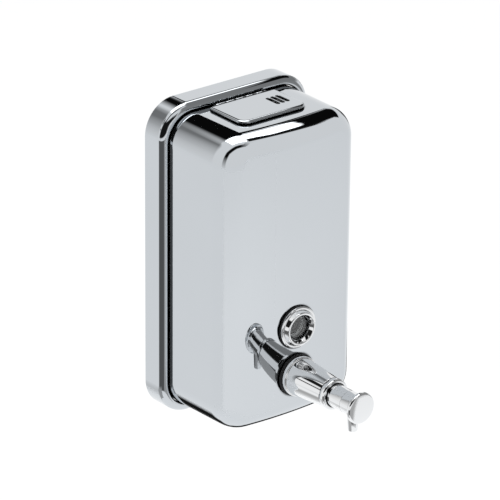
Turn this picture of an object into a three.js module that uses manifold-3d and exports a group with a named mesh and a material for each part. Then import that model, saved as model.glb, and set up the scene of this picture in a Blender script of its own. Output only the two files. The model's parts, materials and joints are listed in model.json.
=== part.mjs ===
// Wall-mounted liquid soap dispenser: a drawn stainless steel tank in a back pan, a hinged
// filling lid with a key latch, a round sight window and a horizontal push valve.
// Millimetres. The wall is the plane y = 0, the front faces -Y and +Z is up.
import * as THREE from "three";
import { mergeVertices, toCreasedNormals } from "three/addons/utils/BufferGeometryUtils.js";
import Module from "manifold-3d";

const wasm = await Module();
wasm.setup();

// General fits
const sheet = 1; // steel sheet of tank, pan and back plate
const fit = 0.3; // between pieces that rest on or in each other
const running = 0.1; // radial, round pins, pistons and the plunger
const overrun = 3; // how far a cutting shape passes what it cuts

// Back pan
const panWidth = 118;
const panHeight = 210;
const panDepth = 17;
const panCorner = 22;
const panStep = 5.5; // the tank stands in from the pan by this, all round
const panRoll = 1; // small roll where the pan's front turns back along the tank
const panLip = 4.5; // length of that turned edge
const panEdge = panStep - fit - panRoll; // large roll of the pan's outer edge

// Tank
const tankDepth = 78; // wall to the middle of the front
const tankCorner = 19;
const tankEdge = 12; // roll between the sides and the front, seen from the front
const tankEdgeDepth = 15; // the same roll along the sides
const tankDraft = 0.6; // taper of each side towards the front
const tankTail = 6; // wall to the rear edge of the tank wall
const frontCrown = 5; // how much the front falls away towards its sides
const backRecess = 9; // wall to the back plate
const backEdge = 1.5; // roll of the back plate's turned edge
const tankHalfWidth = panWidth / 2 - panStep;
const tankHalfHeight = panHeight / 2 - panStep;
const tankTop = tankHalfHeight;

// Filling lid and the mouth under it
const lidWidth = 52.5;
const lidLength = 33.5;
const lidHeight = 2.1; // lid top above the tank top
const lidSheet = 0.8;
const lidCorner = 6.5;
const lidRearCorner = 2;
const lidEdge = 1;
const mouthMargin = 4.4; // lid edge to mouth edge
const mouthCorner = 4;
const mouthCollar = 5; // depth of the turned-down edge round the mouth
const slotLength = 12.4;
const slotWidth = 2.8;
const slotPitch = 3.8;
const slotCount = 3;
const slotOffset = 15.6; // middle slot, to the right of the lid's middle
const slotSetback = 10; // rear end of the slots, from the lid's rear edge

// Lid hinge, a rolled hinge lying on the tank top between pan and lid
const pinRadius = 0.45;
const knuckleWall = 0.4;
const hingeLength = 40;
const knuckleCount = 5;
const hingeSetback = 3.3; // pan front to the knuckles
const hingeLeafSheet = 0.4;
const knuckleGap = 0.3;
const knuckleRadius = pinRadius + running + knuckleWall;
const hingeDepth = panDepth + hingeSetback + knuckleRadius;
const hingeLift = fit + knuckleRadius; // pin axis above the tank top
const lidRear = hingeDepth + knuckleRadius - knuckleWall / 2;
const lidFront = lidRear + lidLength;
const mouthHalfWidth = lidWidth / 2 - mouthMargin;
const mouthBottom = tankTop - mouthCollar;

// Latch spring under the lid
const latchSheet = 0.4;
const latchWidth = 12;
const latchRoot = 10; // root, to the left of the lid's middle
const latchGap = 0.6; // between the hook's leg and the mouth collar
const latchBite = 0.9; // how far the hook reaches under the collar
const latchNose = 3; // height of the sloping nose under the hook

// Wall bracket, hanger rail and lock screw
const bracketSheet = 1.5;
const bracketWidth = 70;
const bracketTop = 52;
const bracketCorner = 4;
const bracketFoot = 8;
const wallSlotWidth = 5.2;
const wallSlotLength = 9;
const wallSlotSpacingX = 52;
const wallSlotSpacingZ = 90;
const wallSlotMiddle = -35;
const tongueWidth = 14;
const tongueSpacing = 44;
const tongueTop = 40;
const tongueHeight = 12;
const railSheet = 1.2;
const railWidth = 66;
const railFlange = 10;
const railLip = 6;
const lockScrewRadius = 1.9;
const lockScrewHead = 3.6;
const lockScrewHeadHeight = 2.2;
const lockScrewSlot = 0.8;

// Sight window
const windowSpacing = 32.8; // window's middle above the valve's axis
const windowSleeve = 10;
const windowGasketRadius = 14.3;
const windowGasketThickness = 0.8;
const bezelRadius = 13.8;
const bezelFlange = 1.1;
const bezelRing = 11.8;
const bezelRise = 3; // crest of the raised ring above the flange
const bezelCrest = 10.3;
const bezelCrestRound = 0.7;
const bezelMouth = 8.1;
const lensRecess = 0.8; // bezel's face to the shoulder that holds the lens
const lensRadius = 8.6;
const lensThickness = 2.4;
const lensDome = 1;
const windowSealThickness = 1.6;
const retainerThickness = 2.4;
const retainerBore = 6.2;
const windowNutFlats = 25;
const windowNutThickness = 4;

// Valve
const valveRise = 32.2; // valve's axis above the tank's bottom
const stubRadius = 10; // threaded stub through the tank wall
const valveHeight = valveRise - tankHalfHeight;
const windowHeight = valveHeight + windowSpacing;
const washerRadius = 13.9;
const washerThickness = 2;
const valveFlangeRadius = 13.2;
const valveFlange = 2.6;
const barrelLength = 31.9;
const barrelBase = 12.3;
const barrelMouth = 9.9;
const barrelEdge = 0.6;
const boreRadius = 8.6;
const innerWasher = 1.5;
const valveNutFlats = 26;
const valveNutThickness = 5;
const stubSpare = 3; // stub beyond the nut
const collarRadius = 10.2;
const collarLength = 4;
const collarRound = 1.2;
const collarSleeve = 3;
const sealWidth = 2.4;
const sealDepth = 1.4;
const plungerRadius = 7.6;
const stroke = 11.5;
const headRest = 1; // left between head and collar at full stroke
const spigotRadius = 5.2;
const spigotLength = 2.2;
const chamberRadius = 3.6;
const chamberLength = 13;
const channelRadius = 2.2;
const headRadius = 10.3;
const headHub = 7.6;
const headHubLength = 9.8;
const headThickness = 3.2;
const headRound = 1.2;
const headDome = 0.6;
const nozzleRadius = 3.9;
const nozzleTip = 3;
const nozzleBore = 1.4;
const nozzleDrop = 18; // valve axis to the tip
const nozzleSetback = 4.1; // nozzle axis in front of the head's back
const pistonLength = 8;
const socketDepth = 4;
const ballRadius = 3;
const springRadius = 6.6;
const springWire = 1.1;
const springTurns = 8;
const outletSpringRadius = 2.1;
const outletSpringWire = 0.5;
const outletSpringTurns = 5;

// Inlet housing inside the tank
const noseFront = -1; // its nose in the barrel's bore, from the tank front
const shoulderThickness = 3;
const housingRadius = 6.5;
const housingRound = 2;
const riserRadius = 6;
const inletChamber = 3.8;
const inletBore = 4;
const inletLift = 2;
const inletClearance = 3; // tank floor to the inlet seat
const seatHole = 2;
const seatFlange = 1.8;
const seatSpigot = 4;

// Fineness
const roundSteps = 28;
const hiddenSteps = 16;
const smallSteps = 12;
const cornerSteps = 6;
const crownSteps = 8;
const rollSteps = 5;
const edgeSteps = 3;
const nutSides = 6;
const coilSteps = 8;
const wireSides = 5;

const quarter = Math.PI / 2;
const half = Math.PI;
const creaseAngle = Math.PI / 6;

// Materials
const finish = (color, roughness, metalness) =>
  new THREE.MeshStandardMaterial({ color, roughness, metalness });
const polishedSteel = finish(0xcdd2d6, 0.12, 1);
const plainSteel = finish(0xb3b7ba, 0.35, 1);
const springSteel = finish(0xa9adb0, 0.3, 1);
const chrome = finish(0xe2e5e8, 0.05, 1);
const blackRubber = finish(0x141414, 0.65, 0);
const whitePlastic = finish(0xe9e9e4, 0.45, 0);
const clearPlastic = finish(0xdfe6ea, 0.05, 0);

// A closed mesh with shared vertices, no empty triangles and faces pointing out
function sealed(source) {
  const bare = source.clone();
  bare.deleteAttribute("normal");
  bare.deleteAttribute("uv");
  const merged = mergeVertices(bare);
  const corners = merged.index.array;
  const point = (i) => new THREE.Vector3().fromBufferAttribute(merged.attributes.position, i);
  const triangles = [];
  let volume = 0;
  for (let i = 0; i < corners.length; i += 3) {
    const [a, b, c] = [corners[i], corners[i + 1], corners[i + 2]];
    if (a === b || b === c || c === a) continue;
    triangles.push([a, b, c]);
    volume += point(a).dot(point(b).cross(point(c)));
  }
  if (volume < 0) triangles.forEach((triangle) => triangle.reverse());
  merged.setIndex(triangles.flat());
  return merged;
}

function toSolid(geometry) {
  const closed = sealed(geometry);
  return new wasm.Manifold(
    new wasm.Mesh({
      numProp: 3,
      vertProperties: new Float32Array(closed.attributes.position.array),
      triVerts: new Uint32Array(closed.index.array),
    })
  );
}

function toGeometry(solid) {
  const mesh = solid.getMesh();
  const geometry = new THREE.BufferGeometry();
  geometry.setAttribute("position", new THREE.BufferAttribute(mesh.vertProperties, mesh.numProp));
  geometry.setIndex(new THREE.BufferAttribute(mesh.triVerts, 1));
  return geometry;
}

const join = (...parts) => toGeometry(parts.map(toSolid).reduce((a, b) => a.add(b)));
const overlapOf = (a, b) => toGeometry(toSolid(a).intersect(toSolid(b)));
const cut = (body, ...tools) =>
  toGeometry(tools.map(toSolid).reduce((a, b) => a.subtract(b), toSolid(body)));

// Extrusions: an outline in (x, z) towards the front, one in (y, z) across the width,
// and one in (x, y) upwards
function extrude(outline, length, steps = smallSteps) {
  return new THREE.ExtrudeGeometry(outline, {
    depth: length,
    bevelEnabled: false,
    curveSegments: steps,
  });
}

function extrudeForward(outline, fromDepth, toDepth) {
  const x = new THREE.Vector3(1, 0, 0);
  const y = new THREE.Vector3(0, 0, 1);
  const z = new THREE.Vector3(0, -1, 0);
  return extrude(outline, toDepth - fromDepth)
    .applyMatrix4(new THREE.Matrix4().makeBasis(x, y, z))
    .translate(0, -fromDepth, 0);
}

function extrudeAcross(outline, width, middle = 0) {
  const x = new THREE.Vector3(0, 1, 0);
  const y = new THREE.Vector3(0, 0, 1);
  const z = new THREE.Vector3(1, 0, 0);
  return extrude(outline, width)
    .applyMatrix4(new THREE.Matrix4().makeBasis(x, y, z))
    .translate(middle - width / 2, 0, 0);
}

const extrudeUp = (outline, bottom, top) => extrude(outline, top - bottom).translate(0, 0, bottom);

const rectangle = (left, right, bottom, top) =>
  shapeOf([[left, bottom], [right, bottom], [right, top], [left, top]]);

const shapeOf = (points) => new THREE.Shape(points.map(([x, y]) => new THREE.Vector2(x, y)));

// Points on an arc, ends included
function arc(x, y, radius, from, to, steps = rollSteps) {
  return Array.from({ length: steps + 1 }, (_, i) => {
    const angle = from + ((to - from) * i) / steps;
    return [x + radius * Math.cos(angle), y + radius * Math.sin(angle)];
  });
}

// A closed profile of [radius, distance along Y] turned about Y
function revolve(profile, steps = roundSteps) {
  const points = [...profile, profile[0]].map(([r, along]) => new THREE.Vector2(r, along));
  return new THREE.LatheGeometry(points, steps);
}

const tube = (inner, outer, from, to, steps = roundSteps) =>
  revolve([[inner, from], [outer, from], [outer, to], [inner, to]], steps);

const rod = (radius, from, to, steps = roundSteps) =>
  revolve([[0, from], [radius, from], [radius, to], [0, to]], steps);

// A rounded outline, the same on both sides of v = 0, walked from high u round to high u
function roundedOutline({ low, high, halfV, lowCorner, highCorner, spanSteps = 1 }) {
  const highArc = arc(high - highCorner, halfV - highCorner, highCorner, 0, quarter, cornerSteps);
  const lowArc = arc(low + lowCorner, halfV - lowCorner, lowCorner, quarter, half, cornerSteps);
  const span = high - highCorner - (low + lowCorner);
  const between = Array.from({ length: spanSteps - 1 }, (_, i) => [
    high - highCorner - (span * (i + 1)) / spanSteps,
    halfV,
  ]);
  const upper = [...highArc, ...between, ...lowArc];
  return [...upper, ...upper.map(([u, v]) => [u, -v]).reverse()];
}

// A surface through rings of equal length, closed on itself or with its ends capped by strips
function loft(rings, endless = false) {
  const count = rings[0].length;
  const index = [];
  const quad = (a, b, c, d) => index.push(a, b, c, a, c, d);
  const spans = endless ? rings.length : rings.length - 1;
  for (let r = 0; r < spans; r++) {
    const here = r * count;
    const next = ((r + 1) % rings.length) * count;
    for (let k = 0; k < count; k++) {
      const after = (k + 1) % count;
      quad(here + k, here + after, next + after, next + k);
    }
  }
  const last = (rings.length - 1) * count;
  for (let k = 0; !endless && k < count / 2 - 1; k++) {
    const mirror = count - 1 - k;
    quad(k, mirror, mirror - 1, k + 1);
    quad(last + k, last + k + 1, last + mirror - 1, last + mirror);
  }
  const geometry = new THREE.BufferGeometry();
  geometry.setAttribute("position", new THREE.Float32BufferAttribute(rings.flat(2), 3));
  geometry.setIndex(index);
  return geometry;
}

// A strip of even thickness along a line of points, laid to the left of the line
function ribbon(points, thickness) {
  const path = points.map(([x, y]) => new THREE.Vector2(x, y));
  const direction = (i) => path[i + 1].clone().sub(path[i]).normalize();
  const left = (d) => new THREE.Vector2(-d.y, d.x);
  const offset = path.map((point, i) => {
    const before = left(direction(Math.max(i - 1, 0)));
    const after = left(direction(Math.min(i, path.length - 2)));
    const mitre = before.clone().add(after).normalize();
    return point.clone().addScaledVector(mitre, thickness / mitre.dot(after));
  });
  return new THREE.Shape([...path, ...offset.reverse()]);
}

// A helical wire along Y whose ends run straight for one wire diameter
function coil({ radius, wire, turns, from, to }) {
  const rise = to - from - 2 * wire;
  const centres = [new THREE.Vector3(radius, from, 0)];
  for (let i = 0; i <= turns * coilSteps; i++) {
    const angle = (i * 2 * Math.PI) / coilSteps;
    const along = from + wire + (rise * i) / (turns * coilSteps);
    centres.push(new THREE.Vector3(radius * Math.cos(angle), along, radius * Math.sin(angle)));
  }
  const lastAngle = turns * 2 * Math.PI;
  centres.push(new THREE.Vector3(radius * Math.cos(lastAngle), to, radius * Math.sin(lastAngle)));
  const axis = new THREE.Vector3(0, 1, 0);
  const rings = centres.map((centre, i) => {
    const before = centres[Math.max(i - 1, 0)];
    const after = centres[Math.min(i + 1, centres.length - 1)];
    const atEnd = before === centre || after === centre;
    const tangent = atEnd ? axis : after.clone().sub(before).normalize();
    const out = new THREE.Vector3(centre.x, 0, centre.z).normalize();
    const side = tangent.clone().cross(out).normalize();
    const across = side.clone().cross(tangent);
    return Array.from({ length: wireSides }, (_, k) => {
      const angle = (k * 2 * Math.PI) / wireSides;
      const reach = across.clone().multiplyScalar(Math.cos(angle));
      reach.addScaledVector(side, Math.sin(angle));
      return centre.clone().addScaledVector(reach, wire / 2).toArray();
    });
  });
  console.log(`coil gap ${selfGap(centres, wire, turns).toFixed(2)} mm`);
  return capped(rings);
}

// Least distance between the surfaces of a coil's neighbouring turns
function selfGap(centres, wire, turns) {
  const apart = Math.ceil(coilSteps / 2);
  let least = Infinity;
  for (let i = 1; i < centres.length - 1 && turns > 1; i++) {
    for (let j = i + apart; j < centres.length - 1; j++) {
      least = Math.min(least, centres[i].distanceTo(centres[j]) - wire);
    }
  }
  return least;
}

// A tube through small rings, its ends closed by fans
function capped(rings) {
  const count = rings[0].length;
  const index = [];
  for (let r = 0; r < rings.length - 1; r++) {
    for (let k = 0; k < count; k++) {
      const here = r * count;
      const next = here + count;
      const after = (k + 1) % count;
      index.push(here + k, here + after, next + after, here + k, next + after, next + k);
    }
  }
  const last = (rings.length - 1) * count;
  for (let k = 1; k < count - 1; k++) {
    index.push(0, k + 1, k, last, last + k, last + k + 1);
  }
  const geometry = new THREE.BufferGeometry();
  geometry.setAttribute("position", new THREE.Float32BufferAttribute(rings.flat(2), 3));
  geometry.setIndex(index);
  return geometry;
}

function add(group, name, geometry, material) {
  const mesh = new THREE.Mesh(toCreasedNormals(sealed(geometry), creaseAngle), material);
  mesh.name = name;
  group.add(mesh);
}

// Sections of pan, tank and back plate: depths are measured from the wall
const cornerAt = (inset) => panCorner - (inset * (panCorner - tankCorner)) / panStep;

function panRing(inset, depth) {
  const outline = roundedOutline({
    low: inset - panWidth / 2,
    high: panWidth / 2 - inset,
    halfV: panHeight / 2 - inset,
    lowCorner: cornerAt(inset),
    highCorner: cornerAt(inset),
  });
  return outline.map(([x, z]) => [x, -depth, z]);
}

function backPan() {
  const middle = panDepth - panEdge;
  const roll = (radius) => arc(panEdge, middle, radius, half, quarter);
  const lipFace = panEdge + panRoll;
  const profile = [
    [0, 0],
    ...roll(panEdge),
    ...arc(panEdge, panDepth - panRoll, panRoll, quarter, 0).slice(1),
    [lipFace, panDepth - panLip],
    [lipFace - sheet, panDepth - panLip],
    [lipFace - sheet, panDepth - sheet],
    ...roll(panEdge - sheet).reverse(),
    [sheet, 0],
  ];
  const shell = loft(profile.map(([inset, depth]) => panRing(inset, depth)), true);
  return cut(shell, lockScrewHole(lockScrewRadius + fit));
}

// One ring of the tank wall: skin is how far it lies under the outer surface, and turn is
// the angle round the front roll, zero where the roll starts from the side
function tankRing(skin, turn, flatDepth) {
  const inset = skin + (tankEdge - skin) * (1 - Math.cos(turn));
  const reach = (tankEdgeDepth - skin) * (1 - Math.sin(turn));
  const depth = flatDepth ?? tankDepth - skin - reach;
  const taper = (tankDraft * Math.max(depth - panDepth, 0)) / (tankDepth - panDepth);
  const outline = roundedOutline({
    low: inset + taper - tankHalfWidth,
    high: tankHalfWidth - inset - taper,
    halfV: tankHalfHeight - inset - taper,
    lowCorner: tankCorner - inset,
    highCorner: tankCorner - inset,
    spanSteps: crownSteps,
  });
  const fall = (x) => (flatDepth === undefined ? crownFall(x) : 0);
  return outline.map(([x, z]) => [x, fall(x) - depth, z]);
}

const crownFall = (x) => frontCrown * (x / tankHalfWidth) ** 2;

const mouthOutline = (grow) =>
  roundedOutline({
    low: mouthMargin - grow - lidFront,
    high: grow - mouthMargin - lidRear,
    halfV: mouthHalfWidth + grow,
    lowCorner: mouthCorner + grow,
    highCorner: mouthCorner + grow,
  }).map(([y, x]) => [x, y]);

function tankShell() {
  const turns = Array.from({ length: rollSteps + 1 }, (_, i) => (quarter * i) / rollSteps);
  const wall = (skin) => [
    tankRing(skin, 0, tankTail),
    tankRing(skin, 0, panDepth),
    ...turns.map((turn) => tankRing(skin, turn)),
  ];
  const drawn = loft([...wall(sheet).reverse(), ...wall(0)]);
  const collar = extrudeUp(shapeOf(mouthOutline(sheet)), mouthBottom, tankTop - sheet / 2);
  const mouth = extrudeUp(shapeOf(mouthOutline(0)), mouthBottom - overrun, tankTop + overrun);
  const frontHole = (radius, height) =>
    rod(radius + fit, -tankDepth - overrun, overrun - tankDepth).translate(0, 0, height);
  return cut(
    join(drawn, collar),
    mouth,
    frontHole(windowSleeve, windowHeight),
    frontHole(stubRadius, valveHeight)
  );
}

function backPlate() {
  const rim = panStep + sheet + fit;
  const roll = arc(rim + backEdge, backRecess + sheet - backEdge, backEdge, half, quarter);
  const section = [
    [rim + backEdge, backRecess],
    [rim + sheet, backRecess + sheet - backEdge],
    [rim + sheet, tankTail],
    [rim, tankTail],
    ...roll,
  ];
  return loft(section.map(([inset, depth]) => panRing(inset, depth)));
}

// Wall bracket: a plate with slots for wall screws, two tongues and a foot for the lock screw
const bracketBottom = sheet + fit - panHeight / 2;
const railLipDepth = bracketSheet + fit;
const tongueDepth = railLipDepth + railSheet + fit;
const tongueBottom = tongueTop - tongueHeight;
const sides = [-1, 1];

function wallSlot(x, z) {
  const reach = (wallSlotLength - wallSlotWidth) / 2;
  const points = [
    ...arc(x, z + reach, wallSlotWidth / 2, 0, half),
    ...arc(x, z - reach, wallSlotWidth / 2, half, 2 * half),
  ];
  return extrudeForward(shapeOf(points), -overrun, bracketSheet + overrun);
}

function wallBracket() {
  const outline = roundedOutline({
    low: -bracketWidth / 2,
    high: bracketWidth / 2,
    halfV: (bracketTop - bracketBottom) / 2,
    lowCorner: bracketCorner,
    highCorner: bracketCorner,
  });
  const middle = (bracketTop + bracketBottom) / 2;
  const plate = extrudeForward(shapeOf(outline), 0, bracketSheet).translate(0, 0, middle);
  const windowTop = tongueTop + tongueDepth;
  const windows = sides.map((side) =>
    extrudeAcross(
      rectangle(-bracketSheet - overrun, overrun, tongueBottom, windowTop),
      tongueWidth,
      (side * tongueSpacing) / 2
    )
  );
  const slots = sides.flatMap((sideX) =>
    sides.map((sideZ) =>
      wallSlot((sideX * wallSlotSpacingX) / 2, wallSlotMiddle + (sideZ * wallSlotSpacingZ) / 2)
    )
  );
  const front = tongueDepth + bracketSheet;
  const tongueShape = shapeOf([
    [0, tongueBottom - bracketSheet],
    [-front, tongueBottom - bracketSheet],
    [-front, tongueTop],
    [-tongueDepth, tongueTop],
    [-tongueDepth, tongueBottom],
    [0, tongueBottom],
  ]);
  const tongues = sides.map((side) =>
    extrudeAcross(tongueShape, tongueWidth, (side * tongueSpacing) / 2)
  );
  const foot = extrudeAcross(
    rectangle(-bracketFoot, 0, bracketBottom, bracketBottom + bracketSheet),
    bracketWidth - 2 * bracketCorner
  );
  const opened = cut(plate, ...windows, ...slots);
  return cut(join(opened, foot, ...tongues), lockScrewHole(lockScrewRadius + running));
}

// The rail hangs behind the tongues by its lip; its flange is welded to the back plate
function hangerRail() {
  const flangeFront = backRecess - fit;
  const flangeBack = flangeFront - railSheet;
  const webBottom = tongueTop + fit;
  const webTop = webBottom + railSheet;
  const lipFront = railLipDepth + railSheet;
  const section = shapeOf([
    [-flangeFront, webBottom],
    [-flangeFront, webBottom + railFlange],
    [-flangeBack, webBottom + railFlange],
    [-flangeBack, webTop],
    [-railLipDepth, webTop],
    [-railLipDepth, webTop - railLip],
    [-lipFront, webTop - railLip],
    [-lipFront, webBottom],
  ]);
  return extrudeAcross(section, railWidth);
}

// Lock screw: up through the pan's floor into the bracket's foot
const upright = (geometry, depth) => geometry.rotateX(quarter).translate(0, -depth, 0);
const lockScrewDepth = (bracketSheet + bracketFoot) / 2;
const lockScrewHole = (radius) =>
  upright(rod(radius, -panHeight / 2 - overrun, overrun - panHeight / 2, smallSteps), lockScrewDepth);

function lockScrew() {
  const seat = -panHeight / 2 - fit;
  const tip = panStep - panHeight / 2 - fit;
  const round = lockScrewHeadHeight / 2;
  const screw = revolve(
    [
      [0, tip],
      [lockScrewRadius, tip],
      [lockScrewRadius, seat],
      [lockScrewHead, seat],
      [lockScrewHead, seat - round],
      [lockScrewHead - round, seat - lockScrewHeadHeight],
      [0, seat - lockScrewHeadHeight],
    ],
    smallSteps
  );
  const slot = new THREE.BoxGeometry(2 * lockScrewHead + overrun, round * 2, lockScrewSlot);
  slot.translate(0, seat - lockScrewHeadHeight, 0);
  return upright(cut(screw, slot), lockScrewDepth);
}

// Hinge: knuckles along X about the pin, taken in turn by the leaf and by the lid
const hingeHeight = tankTop + hingeLift;
const knucklePitch = hingeLength / knuckleCount;
const acrossHinge = (geometry) =>
  geometry.rotateZ(-quarter).translate(0, -hingeDepth, hingeHeight);

function knuckleSpans(forLid) {
  const spans = Array.from({ length: knuckleCount }, (_, i) => i * knucklePitch - hingeLength / 2);
  return spans
    .filter((_, i) => (i % 2 === 1) === forLid)
    .map((start) => [start + knuckleGap / 2, start + knucklePitch - knuckleGap / 2]);
}

const knuckles = (forLid) =>
  knuckleSpans(forLid).map(([from, to]) =>
    acrossHinge(tube(pinRadius + running, knuckleRadius, from, to, smallSteps))
  );

const knuckleRooms = (forLid) =>
  knuckleSpans(!forLid).map(([from, to]) =>
    acrossHinge(rod(knuckleRadius + knuckleGap, from - knuckleGap, to + knuckleGap, smallSteps))
  );

const pinRoom = () =>
  acrossHinge(rod(pinRadius + running, -hingeLength, hingeLength, smallSteps));

function hingeLeaf() {
  const bottom = tankTop + fit;
  const strip = extrudeAcross(
    rectangle(-hingeDepth, -panDepth - fit, bottom, bottom + hingeLeafSheet),
    hingeLength - knuckleGap
  );
  return cut(join(cut(strip, ...knuckleRooms(false)), ...knuckles(false)), pinRoom());
}

const hingePin = () => acrossHinge(rod(pinRadius, -hingeLength / 2, hingeLength / 2, smallSteps));

// Lid: a pressed cover with a turned-down rim
function lidRing(inset, height) {
  const outline = roundedOutline({
    low: inset - lidFront,
    high: -inset - lidRear,
    halfV: lidWidth / 2 - inset,
    lowCorner: lidCorner - inset,
    highCorner: lidRearCorner - inset,
  });
  return outline.map(([y, x]) => [x, y, height]);
}

function lid() {
  const top = tankTop + lidHeight;
  const bottom = tankTop + fit;
  const rollOver = arc(lidEdge, top - lidEdge, lidEdge, half, quarter);
  const cover = loft([
    lidRing(lidSheet, top - lidSheet),
    lidRing(lidSheet, bottom),
    lidRing(0, bottom),
    ...rollOver.map(([inset, height]) => lidRing(inset, height)),
  ]);
  const slots = Array.from({ length: slotCount }, (_, i) =>
    keySlot(slotOffset + (i - (slotCount - 1) / 2) * slotPitch, top)
  );
  const relieved = cut(cover, ...knuckleRooms(true), ...slots);
  return cut(join(relieved, ...knuckles(true)), pinRoom());
}

function keySlot(x, top) {
  const radius = slotWidth / 2;
  const rear = -lidRear - slotSetback - radius;
  const front = -lidRear - slotSetback - slotLength + radius;
  const points = [...arc(x, rear, radius, 0, half), ...arc(x, front, radius, half, 2 * half)];
  return extrudeUp(shapeOf(points), top - lidSheet - overrun, top + overrun);
}

// Latch: a spring strip under the lid, its hook under the mouth's turned-down edge
function latchSpring() {
  const under = tankTop + lidHeight - lidSheet - fit;
  const leg = mouthHalfWidth - latchGap;
  const hookTop = mouthBottom - fit;
  const strip = ribbon(
    [
      [leg - latchNose, hookTop - latchNose],
      [mouthHalfWidth + latchBite, hookTop - latchSheet],
      [leg, hookTop - latchSheet / 2],
      [leg, under],
      [-latchRoot, under],
    ],
    latchSheet
  );
  const middle = lidRear + slotSetback + slotLength / 2;
  return extrudeForward(strip, middle - latchWidth / 2, middle + latchWidth / 2);
}

// Window and valve parts: in their frames +Y points out of the tank's front, its middle
// at zero, and +Z points down
const insideFace = -(sheet + crownFall(washerRadius) + fit);
const hiddenTube = (inner, outer, from, length) =>
  tube(inner, outer, from, from + length, hiddenSteps);

function hexNut(flats, hole, from, thickness) {
  const corner = flats / 2 / Math.cos(half / nutSides);
  const outline = Array.from({ length: nutSides }, (_, i) => [
    corner * Math.cos((i * 2 * half) / nutSides),
    corner * Math.sin((i * 2 * half) / nutSides),
  ]);
  const prism = extrudeForward(shapeOf(outline), from, from + thickness).rotateX(half);
  const bevel = corner - flats / 2;
  const turned = revolve(
    [
      [0, from],
      [corner - bevel, from],
      [corner, from + bevel],
      [corner, from + thickness - bevel],
      [corner - bevel, from + thickness],
      [0, from + thickness],
    ],
    hiddenSteps
  );
  return cut(overlapOf(prism, turned), rod(hole, from - overrun, from + thickness + overrun));
}

// Window
const bezelBack = fit + windowGasketThickness + fit;
const bezelFace = bezelBack + bezelFlange;
const lensShoulder = bezelFace - lensRecess;
const lensBack = lensShoulder - fit - lensThickness;
const sealBack = lensBack - fit - windowSealThickness;
const retainerBack = sealBack - fit - retainerThickness;
const windowNutBack = insideFace - innerWasher - fit - windowNutThickness;
const sleeveBack = Math.min(retainerBack, windowNutBack) - sheet;
const sleeveBore = lensRadius + fit;

const windowNut = () =>
  hexNut(windowNutFlats, windowSleeve + fit, windowNutBack, windowNutThickness);

function windowBezel() {
  const crestTop = bezelFace + bezelRise;
  const crest = arc(bezelCrest, crestTop - bezelCrestRound, bezelCrestRound, 0, half);
  return revolve([
    [sleeveBore, sleeveBack],
    [windowSleeve, sleeveBack],
    [windowSleeve, bezelBack],
    [bezelRadius, bezelBack],
    [bezelRadius, bezelBack + bezelFlange / 2],
    [bezelRadius - bezelFlange / 2, bezelFace],
    [bezelRing, bezelFace],
    ...crest,
    [bezelMouth, lensShoulder + bezelFlange],
    [bezelMouth, lensShoulder],
    [sleeveBore, lensShoulder],
  ]);
}

function windowLens() {
  const step = bezelMouth - fit;
  const front = lensShoulder - fit;
  const domeRadius = (step ** 2 + lensDome ** 2) / (2 * lensDome);
  const reach = Math.asin(step / domeRadius);
  const dome = Array.from({ length: rollSteps + 1 }, (_, i) => {
    const angle = (reach * (rollSteps - i)) / rollSteps;
    return [domeRadius * Math.sin(angle), front + lensDome - domeRadius * (1 - Math.cos(angle))];
  });
  return revolve([[0, lensBack], [lensRadius, lensBack], [lensRadius, front], ...dome]);
}

function retainerRing() {
  const ring = hiddenTube(retainerBore, lensRadius, retainerBack, retainerThickness);
  const notch = new THREE.BoxGeometry(2 * windowSleeve, retainerThickness, retainerThickness);
  return cut(ring, notch.translate(0, retainerBack, 0));
}

const bezelWasher = () =>
  tube(windowSleeve + fit, windowGasketRadius, fit, fit + windowGasketThickness);

const lensSeal = () => hiddenTube(retainerBore, lensRadius, sealBack, windowSealThickness);

const innerRing = (bore) =>
  hiddenTube(bore + fit, washerRadius, insideFace - innerWasher, innerWasher);

// Valve: distances from the tank's front along the axis
const flangeBack = fit + washerThickness + fit;
const mouthAt = flangeBack + barrelLength;
const collarBack = mouthAt + fit;
const collarFront = collarBack + collarLength;
const headBack = collarFront + stroke + headRest;
const headFront = headBack + headHubLength + headThickness;
const pistonFront = mouthAt - collarSleeve - fit;
const pistonBack = pistonFront - pistonLength;
const valveNutBack = insideFace - innerWasher - fit - valveNutThickness;
const stubBack = valveNutBack - stubSpare;
const plungerBore = plungerRadius + running;

const valveWasher = () => tube(stubRadius + fit, washerRadius, fit, fit + washerThickness);
const valveNut = () => hexNut(valveNutFlats, stubRadius + fit, valveNutBack, valveNutThickness);

function valveBarrel() {
  const flangeFront = flangeBack + valveFlange;
  const shoulder = valveFlangeRadius - barrelEdge;
  const taper = (barrelBase - barrelMouth) / (mouthAt - flangeFront);
  const neck = flangeFront + barrelEdge;
  return revolve([
    [boreRadius, stubBack],
    [stubRadius, stubBack],
    [stubRadius, flangeBack],
    [valveFlangeRadius, flangeBack],
    ...arc(shoulder, flangeFront - barrelEdge, barrelEdge, 0, quarter, edgeSteps),
    [barrelBase, neck],
    [barrelMouth + taper * barrelEdge, mouthAt - barrelEdge],
    [barrelMouth - barrelEdge, mouthAt],
    [boreRadius, mouthAt],
  ]);
}

function barrelCollar() {
  const sleeve = boreRadius - fit;
  const grooveBack = collarBack + (collarLength - sealWidth) / 2;
  const groove = plungerBore + sealDepth;
  return revolve([
    [plungerBore, mouthAt - collarSleeve],
    [sleeve, mouthAt - collarSleeve],
    [sleeve, collarBack],
    [collarRadius - running, collarBack],
    [collarRadius, collarBack + collarRound],
    ...arc(collarRadius - collarRound, collarFront - collarRound, collarRound, 0, quarter),
    [plungerBore + running, collarFront],
    [plungerBore, collarFront - running],
    [plungerBore, grooveBack + sealWidth],
    [groove, grooveBack + sealWidth],
    [groove, grooveBack],
    [plungerBore, grooveBack],
  ]);
}

function collarSeal() {
  const back = collarBack + (collarLength - sealWidth) / 2 + fit;
  return tube(plungerBore, plungerBore + sealDepth - fit, back, back + sealWidth - 2 * fit);
}

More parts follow.
